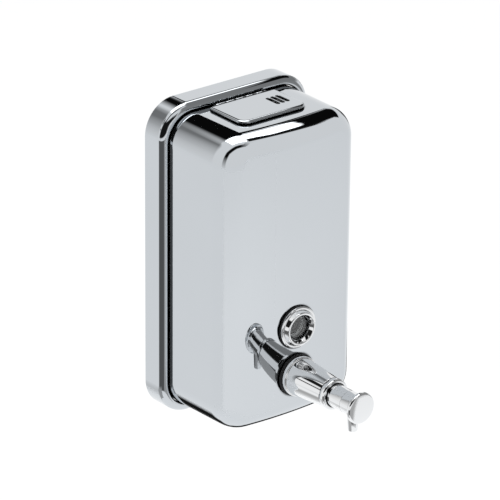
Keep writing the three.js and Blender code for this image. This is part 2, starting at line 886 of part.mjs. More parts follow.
const socketBottom = pistonFront - socketDepth;
const seatEdge = socketBottom - (chamberRadius - channelRadius);
const pistonGroove = boreRadius - fit - sealDepth;
const pistonGrooveBack = pistonBack + fit + running;

function piston() {
  const skirt = boreRadius - fit;
  return revolve(
    [
      [channelRadius, pistonBack],
      [skirt, pistonBack],
      [skirt, pistonGrooveBack],
      [pistonGroove, pistonGrooveBack],
      [pistonGroove, pistonGrooveBack + sealWidth],
      [skirt, pistonGrooveBack + sealWidth],
      [skirt, pistonFront],
      [spigotRadius + fit, pistonFront],
      [spigotRadius + fit, socketBottom],
      [chamberRadius, socketBottom],
      [channelRadius, seatEdge],
    ],
    hiddenSteps
  );
}

function pistonSeal() {
  const back = pistonGrooveBack + fit;
  return hiddenTube(pistonGroove + fit, boreRadius - running, back, sealWidth - 2 * fit);
}

const plungerBack = socketBottom + fit;
const chamberEnd = plungerBack + chamberLength;

function plunger() {
  const spigotEnd = headBack + spigotLength;
  return revolve([
    [chamberRadius, plungerBack],
    [spigotRadius, plungerBack],
    [spigotRadius, pistonFront + fit],
    [plungerRadius, pistonFront + fit],
    [plungerRadius, headBack - fit],
    [spigotRadius, headBack - fit],
    [spigotRadius, spigotEnd],
    [channelRadius, spigotEnd],
    [channelRadius, chamberEnd],
    [chamberRadius, chamberEnd],
  ]);
}

// A ball on the rim of a round seat, the rim at zero and the ball on its far side
const ballStand = (rim) => Math.sqrt(ballRadius ** 2 - rim ** 2) + fit;
const ball = () => new THREE.SphereGeometry(ballRadius, smallSteps, smallSteps / 2);
const outletBallAt = seatEdge + ballStand(channelRadius);

const outletSpring = () =>
  coil({
    radius: outletSpringRadius,
    wire: outletSpringWire,
    turns: outletSpringTurns,
    from: outletBallAt + ballStand(outletSpringRadius - outletSpringWire),
    to: chamberEnd - running,
  });

const returnSpring = () =>
  coil({
    radius: springRadius,
    wire: springWire,
    turns: springTurns,
    from: noseFront + fit,
    to: pistonBack - fit,
  });

function pushHead() {
  const rim = headBack + headHubLength;
  const socket = headBack + spigotLength + fit;
  const flare = headRadius - headHub;
  const front = headFront - headDome;
  const face = headRadius - headRound;
  const body = revolve([
    [spigotRadius + fit, headBack],
    [headHub, headBack],
    ...arc(headRadius, rim - flare, flare, half, quarter),
    ...arc(face, front - headRound, headRound, 0, quarter, edgeSteps),
    [face / 2, headFront - headDome / 4],
    [0, headFront],
    [0, rim + headRound],
    [channelRadius, rim + headRound],
    [channelRadius, socket],
    [spigotRadius + fit, socket],
  ]);
  const along = headBack + nozzleSetback;
  const nozzleTop = (spigotRadius + fit + headHub) / 2;
  const nozzleLength = nozzleDrop - nozzleTop;
  const nozzle = new THREE.CylinderGeometry(nozzleTip, nozzleRadius, nozzleLength, hiddenSteps);
  nozzle.rotateX(quarter).translate(0, along, (nozzleDrop + nozzleTop) / 2);
  const bore = rod(nozzleBore, 0, nozzleDrop + overrun, smallSteps);
  return cut(join(body, nozzle), bore.rotateX(quarter).translate(0, along, 0));
}

// Inlet housing: a nose in the barrel's bore, an elbow and a riser from near the tank floor
const shoulderFront = stubBack - fit;
const shoulderBack = shoulderFront - shoulderThickness;
const riserAt = shoulderBack - housingRadius;
const housingBack = riserAt - housingRadius;
const tankFloorDrop = tankHalfHeight - sheet - tankDraft + valveHeight;
const seatBottom = tankFloorDrop - inletClearance;
const riserEnd = seatBottom - seatFlange - fit;
const seatTop = riserEnd - seatSpigot;
const inletBallAt = seatTop - ballStand(seatHole);
const chamberRoof = inletBallAt - inletLift - ballStand(channelRadius);
const downward = (geometry) => geometry.rotateX(quarter).translate(0, riserAt, 0);

function inletHousing() {
  const end = housingRadius - housingRound;
  const outer = revolve(
    [
      [0, housingBack],
      ...arc(end, housingBack + housingRound, housingRound, -quarter, 0, edgeSteps),
      [housingRadius, shoulderBack],
      [stubRadius, shoulderBack],
      [stubRadius, shoulderFront],
      [boreRadius - fit, shoulderFront],
      [boreRadius - fit, noseFront],
      [0, noseFront],
    ],
    hiddenSteps
  );
  const riser = downward(rod(riserRadius, 0, riserEnd, hiddenSteps));
  return cut(
    join(outer, riser),
    rod(inletBore, riserAt, noseFront + overrun, hiddenSteps),
    downward(rod(channelRadius, 0, chamberRoof + overrun, hiddenSteps)),
    downward(rod(inletChamber, chamberRoof, riserEnd + overrun, hiddenSteps))
  );
}

function inletSeat() {
  const spigot = inletChamber - fit;
  return downward(
    revolve(
      [
        [seatHole, seatTop],
        [spigot, seatTop],
        [spigot, riserEnd + fit],
        [riserRadius, riserEnd + fit],
        [riserRadius, seatBottom],
        [seatHole, seatBottom],
      ],
      hiddenSteps
    )
  );
}

// The dispenser, with the window and the valve in frames of their own
const dispenser = new THREE.Group();
add(dispenser, "tank_shell", tankShell(), polishedSteel);
add(dispenser, "back_pan", backPan(), polishedSteel);
add(dispenser, "back_plate", backPlate(), plainSteel);
add(dispenser, "hanger_rail", hangerRail(), plainSteel);
add(dispenser, "wall_bracket", wallBracket(), plainSteel);
add(dispenser, "lock_screw", lockScrew(), plainSteel);
add(dispenser, "lid", lid(), polishedSteel);
add(dispenser, "hinge_leaf", hingeLeaf(), polishedSteel);
add(dispenser, "hinge_pin", hingePin(), plainSteel);
add(dispenser, "latch_spring", latchSpring(), springSteel);

const sightWindow = new THREE.Group();
sightWindow.position.set(0, -tankDepth, windowHeight);
sightWindow.rotation.x = half;
dispenser.add(sightWindow);
add(sightWindow, "window_gasket", bezelWasher(), blackRubber);
add(sightWindow, "window_bezel", windowBezel(), chrome);
add(sightWindow, "window_lens", windowLens(), clearPlastic);
add(sightWindow, "window_seal", lensSeal(), blackRubber);
add(sightWindow, "window_retainer", retainerRing(), whitePlastic);
add(sightWindow, "window_inner_washer", innerRing(windowSleeve), blackRubber);
add(sightWindow, "window_nut", windowNut(), plainSteel);

const valve = new THREE.Group();
valve.position.set(0, -tankDepth, valveHeight);
valve.rotation.x = half;
dispenser.add(valve);
add(valve, "valve_washer", valveWasher(), blackRubber);
add(valve, "valve_barrel", valveBarrel(), chrome);
add(valve, "valve_inner_washer", innerRing(stubRadius), blackRubber);
add(valve, "valve_nut", valveNut(), plainSteel);
add(valve, "barrel_collar", barrelCollar(), chrome);
add(valve, "collar_seal", collarSeal(), blackRubber);
add(valve, "plunger", plunger(), chrome);
add(valve, "push_head", pushHead(), chrome);
add(valve, "piston", piston(), whitePlastic);
add(valve, "piston_seal", pistonSeal(), blackRubber);
add(valve, "return_spring", returnSpring(), springSteel);
add(valve, "outlet_ball", ball().translate(0, outletBallAt, 0), plainSteel);
add(valve, "outlet_spring", outletSpring(), springSteel);
add(valve, "inlet_housing", inletHousing(), whitePlastic);
add(valve, "inlet_seat", inletSeat(), whitePlastic);
add(valve, "inlet_ball", ball().translate(0, riserAt, inletBallAt), plainSteel);

export default dispenser;
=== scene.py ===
import json
from math import acos, cos, hypot, pi, prod, radians, sin, tan
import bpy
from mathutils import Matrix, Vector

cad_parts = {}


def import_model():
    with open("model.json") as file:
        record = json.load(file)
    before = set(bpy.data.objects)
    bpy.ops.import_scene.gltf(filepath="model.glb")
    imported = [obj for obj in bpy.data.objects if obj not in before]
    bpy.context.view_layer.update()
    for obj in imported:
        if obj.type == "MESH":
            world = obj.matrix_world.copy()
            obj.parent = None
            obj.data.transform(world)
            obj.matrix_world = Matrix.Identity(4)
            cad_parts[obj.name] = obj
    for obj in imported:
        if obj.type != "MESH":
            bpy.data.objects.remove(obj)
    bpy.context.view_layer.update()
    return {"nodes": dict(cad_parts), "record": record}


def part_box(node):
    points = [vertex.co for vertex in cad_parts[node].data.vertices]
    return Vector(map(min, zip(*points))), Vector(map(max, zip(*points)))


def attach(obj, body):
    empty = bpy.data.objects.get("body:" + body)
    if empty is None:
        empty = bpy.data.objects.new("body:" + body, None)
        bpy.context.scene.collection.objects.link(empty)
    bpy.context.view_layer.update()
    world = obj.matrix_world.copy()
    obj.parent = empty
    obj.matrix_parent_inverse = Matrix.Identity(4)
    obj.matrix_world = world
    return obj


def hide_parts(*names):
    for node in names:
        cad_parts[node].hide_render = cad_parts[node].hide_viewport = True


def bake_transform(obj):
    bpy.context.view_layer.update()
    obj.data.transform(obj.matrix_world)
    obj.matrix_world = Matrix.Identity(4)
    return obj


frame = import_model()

from types import SimpleNamespace as Sizes

import bmesh
import bpy
from mathutils import Matrix, Vector
from mathutils.bvhtree import BVHTree
from mathutils.interpolate import poly_3d_calc

# Looks of a wall-mounted steel soap dispenser. Lengths are in millimetres and are scaled to
# metres when a mesh is made; x is across, -y out of the front and z up. The studio round it
# has its distances in metres and its directions in degrees.
MM = 0.001
QUARTER, HALF, TURN = pi / 2, pi, 2 * pi

# Fits and sizes that several pieces share
FIT = 0.3  # between pieces that rest on each other
RUNNING = 0.1  # round pins and pistons, on the radius
OVERRUN = 3  # how far a cutting shape passes what it cuts
SHEET = 1
BREAK = 0.2  # a sheet's broken edge
PAN = Sizes(half_width=59, half_height=105, depth=17, corner=22, step=5.5, roll=1,
            lip=4.5, lip_tip=(0.3, 0.12), rim_break=0.15, wall_shares=(0.04, 0.96))
TANK = Sizes(half_width=53.5, half_height=99.5, depth=78, corner=19, edge=12,
             edge_depth=15, draft=0.6, tail=6, crown=5, seam=1)
BACK = Sizes(recess=9, edge=1.5, flat=4)
LID = Sizes(half_width=26.25, length=33.5, rise=2.1, sheet=0.8, corner=6.5, rear_corner=2,
            least_corner=0.2, rear=22, roll=1.6, flats=(4.2, 2.2), under=0.8, nick=0.1,
            side_shares=(0.02, 0.98))
KEY = Sizes(count=3, x=15.6, pitch=3.8, setback=16.2, half_width=1.4, half_length=6.2,
            bevel=0.25, below=2, above=1)
MOUTH = Sizes(margin=4.4, corner=4, collar=5, roll=1.5, seat=1.49, land=0.1,
              cut_below=6.5, cut_above=2.5)
HINGE = Sizes(y=-21.25, z=100.75, pin=0.45, knuckle=0.95, length=40, count=5, gap=0.3,
              leaf=0.4, leaf_edge=0.05)
LID_FRONT = LID.rear + LID.length
WINDOW_Z = -34.5
VALVE_Z = -67.3
STUB = 10  # radius of the two sleeves through the tank's front
STUB_HOLE = STUB + FIT
INSIDE = 1.66  # from the tank's front to what lies against its wall inside

# Fineness
ROUND_STEPS = 96
SMALL_STEPS = 48
KNUCKLE_STEPS = 32
PIN_STEPS = 24
PIN_BENDS = 3
CORNER_STEPS = 14
SHARP = radians(35)
CUT_SHARP = radians(30)
WELD = 2e-7
EMPTY = 1e-7

# Materials
GRAIN_DETAIL = 4
SLOW = {"Scale": 18, "Detail": 1.5}
NOISE_RANGE = (0.1, 0.42)
# Painted shade in narrow gaps: how open a point is, by ambient occlusion, sets how much of its colour
# shows
PAINTED_SHADE_RANGE = (0.58, 0.8)
PAINTED_SHADE_SAMPLES = 12
BLACK = 0.004
WAVE_DEPTH = 0.0004
GRAIN_DEPTH = 0.00005


def node(tree, kind, *inputs, **values):
    """A shader node. inputs fill its sockets in order, and values set its named sockets and
    its properties; each can be another node's output."""
    made = tree.nodes.new(kind)
    for key, value in [*enumerate(inputs), *values.items()]:
        if isinstance(value, bpy.types.NodeSocket):
            tree.links.new(value, made.inputs[key])
        elif isinstance(key, int) or key in made.inputs:
            made.inputs[key].default_value = value
        else:
            setattr(made, key, value)
    return made


def remapped(tree, source, low, high, to_low=0, to_high=1):
    """A value carried from one range to another."""
    limits = {"From Min": low, "From Max": high, "To Min": to_low, "To Max": to_high}
    return node(tree, "ShaderNodeMapRange", Value=source, **limits).outputs["Result"]


def maths(tree, operation, *inputs):
    """The result of one operation on a shader's values."""
    return node(tree, "ShaderNodeMath", *inputs, operation=operation).outputs[0]


def empty_tree(holder):
    """The node tree of a material or world, emptied."""
    holder.use_nodes = True
    holder.node_tree.nodes.clear()
    return holder.node_tree


def material(name, base, roughness, metallic=0, stretch=(1, 1, 1), grain=300, bump=0,
             waves=0, tint=0.04, shader=None, painted_shade_reach=0):
    """A procedural surface: fine grain in roughness and height, and slow waves and tints.
    Within painted_shade_reach, in metres, narrow gaps and seams get painted shade: ambient occlusion
    darkens their colour where shade would fall."""
    made = bpy.data.materials.new(name)
    tree = empty_tree(made)
    place = node(tree, "ShaderNodeTexCoord").outputs["Object"]
    stretched = node(tree, "ShaderNodeMapping", Vector=place, Scale=stretch).outputs[0]
    fine = node(tree, "ShaderNodeTexNoise", Vector=stretched, Scale=grain,
                Detail=GRAIN_DETAIL).outputs["Fac"]
    slow = node(tree, "ShaderNodeTexNoise", Vector=place, **SLOW).outputs["Fac"]
    both = maths(tree, "MULTIPLY", fine, slow)
    dark, pale = ((*(min(c * (1 + way * tint), 1) for c in base), 1) for way in (-1, 1))
    colour = node(tree, "ShaderNodeMix", data_type="RGBA", A=dark, B=pale, Factor=slow)
    # Painted shade: the colour is darkened to black where ambient occlusion finds other surfaces close
    # by, in gaps and seams
    if painted_shade_reach:
        share = node(tree, "ShaderNodeAmbientOcclusion", Distance=painted_shade_reach, samples=PAINTED_SHADE_SAMPLES)
        shown = remapped(tree, share.outputs["AO"], *PAINTED_SHADE_RANGE)
        colour = node(tree, "ShaderNodeMix", data_type="RGBA", A=(BLACK, BLACK, BLACK, 1),
                      B=colour.outputs["Result"], Factor=shown)
    values = {"Metallic": metallic, "Roughness": remapped(tree, both, *NOISE_RANGE, *roughness),
              "Base Color": colour.outputs["Result"], **(shader or {})}
    for height, source, depth in ((waves, slow, WAVE_DEPTH), (bump, fine, GRAIN_DEPTH)):
        if height:
            below = {"Normal": values["Normal"]} if "Normal" in values else {}
            step = node(tree, "ShaderNodeBump", Strength=height, Distance=depth, Height=source,
                        **below)
            values["Normal"] = step.outputs["Normal"]
    surface = node(tree, "ShaderNodeBsdfPrincipled", **values)
    node(tree, "ShaderNodeOutputMaterial", surface.outputs["BSDF"])
    return made


STEEL = {"base": (0.567, 0.595, 0.622), "metallic": 1, "stretch": (1, 1, 0.15),
         "grain": 900, "tint": 0.015}
MIRROR = (0, 0.003)
# These finishes get painted shade in their gaps, reaching the given distance in metres; the lid's pressed
# steel reaches furthest, so its key slots and rim go dark
SATIN = material("satin_stainless", roughness=(0.012, 0.03), bump=0.02, waves=0.03,
                 painted_shade_reach=0.003, **STEEL)
POLISHED = material("polished_stainless", roughness=MIRROR, waves=0.02, painted_shade_reach=0.003, **STEEL)
PRESSED = material("pressed_stainless", roughness=MIRROR, waves=0.02, painted_shade_reach=0.008, **STEEL)
PLAIN = material("rolled_steel", (0.5, 0.51, 0.52), (0.24, 0.42), 1, stretch=(1, 1, 0.08),
                 grain=1400, bump=0.25, tint=0.06)
BRIGHT = material("turned_steel", (0.55, 0.56, 0.57), (0.12, 0.26), 1, grain=2200,
                  bump=0.12, tint=0.05)
SPRING = material("spring_wire", (0.47, 0.475, 0.48), (0.16, 0.3), 1, grain=1500,
                  bump=0.15, tint=0.08)
CHROME = material("chrome_plate", (0.8, 0.81, 0.82), MIRROR, 1, grain=1200, waves=0.01,
                  tint=0.01, painted_shade_reach=0.002)
RUBBER = material("black_rubber", (0.012, 0.012, 0.013), (0.42, 0.62), grain=2600, bump=0.1,
                  tint=0.2, shader={"Specular IOR Level": 0.2})
PLASTIC = material("white_moulding", (0.78, 0.78, 0.755), (0.32, 0.48), grain=1800,
                   bump=0.12, tint=0.03)
CLEAR = material("clear_moulding", (0.93, 0.96, 0.98), (0.02, 0.06), grain=900, bump=0.02,
                 tint=0.01, shader={"Transmission Weight": 1, "IOR": 1.49})

LOOKS = {"polished_steel": (POLISHED, SATIN, PRESSED), "plain_steel": (PLAIN, BRIGHT),
         "spring_steel": (SPRING,), "chrome": (CHROME,), "black_rubber": (RUBBER,),
         "white_plastic": (PLASTIC,), "clear_plastic": (CLEAR,)}
for part in frame["record"]["subparts"]:
    mesh = frame["nodes"][part["node"]].data
    mesh.materials.clear()
    mesh.materials.append(LOOKS[part["material_slot"]][0])


# Outlines and profiles

def arc(u, v, radius, start, end, steps):
    """Points on an arc, both ends included."""
    angles = [start + (end - start) * i / steps for i in range(steps + 1)]
    return [(u + radius * cos(a), v + radius * sin(a)) for a in angles]


ROOM_SHARE = 0.49
STRAIGHT = 0.02


def rounded(points, closed=True, steps=5):
    """A line of (u, v, radius) with each corner rounded to its radius."""
    made = []
    count = len(points)
    for i, (u, v, radius) in enumerate(points):
        if radius <= 0 or (not closed and i in (0, count - 1)):
            made.append((u, v))
            continue
        here = Vector((u, v))
        back = Vector(points[i - 1][:2]) - here
        ahead = Vector(points[(i + 1) % count][:2]) - here
        room = ROOM_SHARE * min(back.length, ahead.length)
        back.normalize()
        ahead.normalize()
        bend = acos(max(-1, min(1, back.dot(ahead)))) / 2
        if bend > QUARTER - STRAIGHT:
            made.append((u, v))
            continue
        tangent = min(radius / tan(bend), room)
        reach = tangent * tan(bend)
        centre = here + (back + ahead).normalized() * (reach / sin(bend))
        first = here + back * tangent - centre
        last = here + ahead * tangent - centre
        sweep = first.angle_signed(last)
        for k in range(steps + 1):
            turned_by = Matrix.Rotation(-sweep * k / steps, 2) @ first
            made.append(tuple(centre + turned_by))
    return made


def eased(points, rounds):
    """A profile's points, each with the radius of its corner."""
    return [(u, v, radius) for (u, v), radius in zip(points, rounds, strict=True)]


def band(inner, outer, low, high, rounds=(0.3, 0.3, 0.3, 0.3)):
    """A ring's section, its corner radii given from the inner one at the low end round."""
    return eased([(inner, low), (outer, low), (outer, high), (inner, high)], rounds)


def rod(radius, low, high):
    """Half the section of a plain round bar."""
    return band(0, radius, low, high, (0, 0, 0, 0))


# Shares along an outline's straight sides, dense next to its corners
END_SHARES = (0, 0.004, 0.02, 0.1)
FAR_SHARES = tuple(1 - s for s in reversed(END_SHARES))
SIDE = (*END_SHARES, 0.3, 0.5, 0.7, *FAR_SHARES)
SPAN = (*END_SHARES, *(0.1 + 0.8 * i / 30 for i in range(1, 30)), *FAR_SHARES)


def frame_outline(half_x, half_z, corner, span=SPAN):
    """A rounded rectangle walked up the right side, over the top, down the left and back."""
    flat_x, flat_z = half_x - corner, half_z - corner
    top = arc(flat_x, flat_z, corner, 0, QUARTER, CORNER_STEPS)[1:-1]
    upper = [*top, *((flat_x * (1 - 2 * s), half_z) for s in span)]
    upper += [(-x, z) for x, z in reversed(top)]
    right = [(half_x, -flat_z * (1 - 2 * s)) for s in SIDE]
    left = [(-x, -z) for x, z in right]
    return right + upper + left + [(-x, -z) for x, z in upper]


def capsule(x, z, half_width, half_length):
    """An upright slot with round ends."""
    reach = half_length - half_width
    return [*arc(x, z + reach, half_width, 0, HALF, CORNER_STEPS),
            *arc(x, z - reach, half_width, HALF, TURN, CORNER_STEPS)]


TINY = 1e-6
LEAST_COSINE = 0.5


def inward(outline, i, inset):
    """An outline's corner moved in by a distance, for outlines walked anticlockwise."""
    here = Vector(outline[i])
    before = (here - Vector(outline[i - 1])).normalized()
    after = (Vector(outline[(i + 1) % len(outline)]) - here).normalized()
    side = Vector((-before.y - after.y, before.x + after.x))
    if side.length < TINY:
        return tuple(here)
    side.normalize()
    reach = inset / max(LEAST_COSINE, side.dot(Vector((-after.y, after.x))))
    return tuple(here + side * reach)


def ribbon(points, thickness, bends=6):
    """The outline of a strip bent along a line of (u, v, radius), laid to its left."""
    path = [Vector(p) for p in rounded(points, closed=False, steps=bends)]
    path = [p for i, p in enumerate(path) if i == 0 or (p - path[i - 1]).length > TINY]
    left = []
    for i, p in enumerate(path):
        before = (p - path[i - 1]).normalized() if i else (path[1] - p).normalized()
        after = (path[i + 1] - p).normalized() if i < len(path) - 1 else before
        side = Vector((-before.y - after.y, before.x + after.x)).normalized()
        left.append(p + side * (thickness / side.dot(Vector((-after.y, after.x)))))
    return [tuple(p) for p in path] + [tuple(p) for p in reversed(left)]


# Places that carry an outline or a profile into the scene

def forward(u, v, w):
    """An outline in (x, z), carried out of the wall."""
    return (u, -w, v)


def sideways(u, v, w):
    """An outline in (distance from the wall, z), carried across."""
    return (w, -u, v)


def upward(u, v, w):
    """An outline in (x, y), carried up."""
    return (u, v, w)


def out_of_front(height):
    """Places (across, along, up) with along measured out of the middle of the front."""
    return lambda u, along, v: (u, -TANK.depth - along, height + v)


def lock_place(u, along, v):
    """The lock screw's axis, along which runs up from just under the pan's floor."""
    return (u, SCREW.y + v, SCREW.bottom + along)


def hinge_place(u, along, v):
    """The hinge's axis, along which runs to the right from the lid's middle."""
    return (along, HINGE.y + u, HINGE.z + v)


def across_axis(place):
    """An outline square to an axis, carried along it."""
    return lambda u, v, w: place(u, w, v)


# Meshes

def finish_mesh(name, verts, faces):
    """A welded mesh with smooth faces, outward normals and sharp edges above an angle."""
    mesh = bpy.data.meshes.new(name)
    mesh.from_pydata([Vector(v) * MM for v in verts], [], faces)
    shape = bmesh.new()
    shape.from_mesh(mesh)
    bmesh.ops.remove_doubles(shape, verts=shape.verts, dist=WELD)
    bmesh.ops.dissolve_degenerate(shape, edges=shape.edges, dist=EMPTY)
    bmesh.ops.recalc_face_normals(shape, faces=shape.faces)
    shape.to_mesh(mesh)
    shape.free()
    mesh.shade_smooth()
    mesh.set_sharp_from_angle(angle=SHARP)
    return mesh


def thing(name, mesh):
    """An object in the scene."""
    made = bpy.data.objects.new(name, mesh)
    bpy.context.scene.collection.objects.link(made)
    return made


def piece(name, mesh, look, body="root", stands_for=()):
    """A finished piece: its look and slot, the body it rides on and the nodes it replaces."""
    made = thing(name, mesh)
    mesh.materials.clear()
    mesh.materials.append(look)
    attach(made, body)
    if stands_for:
        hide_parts(*stands_for)


def spring_piece(name, mesh, node_name):
    """A spring piece, its place baked into its mesh, that stands for one CAD node."""
    made = thing(name, mesh)
    mesh.materials.append(SPRING)
    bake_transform(made)
    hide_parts(node_name)


def loft(rings, closed_rings=True, endless=False, start=0):
    """Quads through rings of equal length."""
    count = len(rings[0])
    faces = []
    for r in range(len(rings) if endless else len(rings) - 1):
        here = start + r * count
        ahead = start + ((r + 1) % len(rings)) * count
        for k in range(count if closed_rings else count - 1):
            after = (k + 1) % count
            faces.append((here + k, here + after, ahead + after, ahead + k))
    return [p for ring in rings for p in ring], faces


def capped(name, rings):
    """A mesh through rings, its first and last ring closed by a face."""
    verts, faces = loft(rings)
    count = len(rings[0])
    faces += [tuple(range(count)), tuple(range(len(verts) - count, len(verts)))]
    return finish_mesh(name, verts, faces)


def prism(name, outline, place, low, high):
    """An outline of (u, v) carried from low to high."""
    return capped(name, [[place(u, v, w) for u, v in outline] for w in (low, high)])


def bar(name, outline, place, low, high, edge=0.15):
    """A prism whose end edges are broken by a small chamfer."""
    ends = ((low, edge), (low + edge, 0), (high - edge, 0), (high, edge))
    return capped(name, [[place(*inward(outline, i, inset), w) for i in range(len(outline))]
                         for w, inset in ends])


def turned(name, profile, place, steps=ROUND_STEPS, bends=5):
    """A closed profile of (radius, along, corner radius) turned about its axis."""
    points = rounded(profile, steps=bends)
    angles = [TURN * i / steps for i in range(steps)]
    rings = [[place(r * cos(a), along, r * sin(a)) for r, along in points] for a in angles]
    return finish_mesh(name, *loft(rings, endless=True))


def turned_piece(node_name, profile, place, look, body="root", steps=ROUND_STEPS, bends=5):
    """A turned piece that stands for one CAD node."""
    name = f"{node_name}_skin"
    piece(name, turned(name, profile, place, steps, bends), look, body, [node_name])


def evaluated(source, name):
    """The mesh of an object with its modifiers applied, and the object removed."""
    bpy.context.view_layer.update()
    graph = bpy.context.evaluated_depsgraph_get()
    mesh = bpy.data.meshes.new_from_object(source.evaluated_get(graph))
    mesh.name = name
    bpy.data.objects.remove(source)
    return mesh


def combined(mesh, tools, operation="DIFFERENCE"):
    """The mesh with other meshes cut from it, or kept to what they share with it."""
    body = thing("work", mesh)
    helpers = [thing(f"tool_{i}", tool) for i, tool in enumerate(tools)]
    for helper in helpers:
        step = body.modifiers.new("cut", "BOOLEAN")
        step.operation = operation
        step.solver = "EXACT"
        step.object = helper
    made = evaluated(body, mesh.name)
    for helper in helpers:
        bpy.data.objects.remove(helper)
    made.shade_smooth()
    made.set_sharp_from_angle(angle=CUT_SHARP)
    return made


NUDGE_SHARE = 0.002
ON_SKIN = 2e-5  # in metres
SAME_WAY = 0.9


def carved(mesh, tools):
    """Cuts openings in a smooth sheet and keeps the sheet's own normals round them."""
    made = combined(mesh.copy(), tools)
    corners = [Vector(v.co) for v in mesh.vertices]
    faces = [tuple(p.vertices) for p in mesh.polygons]
    tree = BVHTree.FromPolygons(corners, faces)
    smooth = [Vector(n.vector) for n in mesh.corner_normals]
    normals = [Vector(n.vector) for n in made.corner_normals]
    for face in made.polygons:
        middle = Vector(face.center)
        for loop in face.loop_indices:
            at = made.vertices[made.loops[loop].vertex_index].co
            near, direction, index, gap = tree.find_nearest(at.lerp(middle, NUDGE_SHARE))
            if gap > ON_SKIN or direction.dot(face.normal) < SAME_WAY:
                normals[loop] = Vector(face.normal)
                continue
            source = mesh.polygons[index]
            shares = poly_3d_calc([corners[v] for v in source.vertices], near)
            total = Vector((0, 0, 0))
            for share, corner in zip(shares, source.loop_indices):
                total += share * smooth[corner]
            normals[loop] = total.normalized()
    made.shade_smooth()
    made.normals_split_custom_set(normals)
    return made


# Camera

PHOTO = Sizes(azimuth=39.34, elevation=23.525, roll=0.542, distance=2393.3, focal=3810.9,
              pixels=500, middle=(258.565, 256.725), aim=(0, -40, 0), sensor=36,
              clip=(0.1, 100))


def camera():
    """The photo's own view, found by fitting the object's outlines."""
    azimuth, elevation = radians(PHOTO.azimuth), radians(PHOTO.elevation)
    roll = radians(PHOTO.roll)
    ahead = Vector((sin(azimuth) * cos(elevation), cos(azimuth) * cos(elevation),
                    -sin(elevation)))
    level = Vector((cos(azimuth), -sin(azimuth), 0))
    upright = level.cross(ahead)
    right = level * cos(roll) + upright * sin(roll)
    up = upright * cos(roll) - level * sin(roll)
    across, down = ((middle - PHOTO.pixels / 2) * PHOTO.distance / PHOTO.focal
                    for middle in PHOTO.middle)
    at = Vector(PHOTO.aim) - right * across + up * down - ahead * PHOTO.distance
    lens = bpy.data.cameras.new("camera")
    lens.sensor_width = PHOTO.sensor
    lens.lens = PHOTO.focal / PHOTO.pixels * PHOTO.sensor
    lens.clip_start, lens.clip_end = PHOTO.clip
    made = thing("camera", lens)
    turn = Matrix((right, up, -ahead)).transposed().to_4x4()
    made.matrix_world = Matrix.Translation(at * MM) @ turn
    bpy.context.scene.camera = made


# World and floor

WHITE = (1, 1, 1, 1)
WORLD_LIGHT = 0.8
WORLD_SHOWN = 1
FLOOR = Sizes(reach=9000, height=-1400, colour=(0.84, 0.845, 0.85, 1), lift=0.32)


def seen_directly(tree):
    """One where a ray comes from the camera, a mirror or glass, else zero."""
    path = node(tree, "ShaderNodeLightPath").outputs
    first = maths(tree, "MAXIMUM", path["Is Camera Ray"], path["Is Glossy Ray"])
    return maths(tree, "MAXIMUM", first, path["Is Transmission Ray"])


def world():
    """An even white surround, a little dimmer as a light than it shows."""
    made = bpy.data.worlds.new("studio")
    bpy.context.scene.world = made
    tree = empty_tree(made)
    light, shown = (node(tree, "ShaderNodeBackground", Color=WHITE, Strength=strength).outputs[0]
                    for strength in (WORLD_LIGHT, WORLD_SHOWN))
    mix = node(tree, "ShaderNodeMixShader", seen_directly(tree), light, shown)
    node(tree, "ShaderNodeOutputWorld", mix.outputs[0])


def floor():
    """A wide pale floor below the dispenser that shows white and keeps a soft shadow."""
    reach, z = FLOOR.reach, FLOOR.height
    corners = [(-reach, -reach, z), (reach, -reach, z), (reach, reach, z), (-reach, reach, z)]
    made = thing("floor", finish_mesh("floor", corners, [(0, 1, 2, 3)]))
    look = bpy.data.materials.new("pale_floor")
    tree = empty_tree(look)
    matt = node(tree, "ShaderNodeBsdfDiffuse", Color=FLOOR.colour)
    lift = maths(tree, "MULTIPLY", seen_directly(tree), FLOOR.lift)
    glow = node(tree, "ShaderNodeEmission", Color=WHITE, Strength=lift)
    total = node(tree, "ShaderNodeAddShader", matt.outputs[0], glow.outputs[0])
    node(tree, "ShaderNodeOutputMaterial", total.outputs[0])
    made.data.materials.append(look)


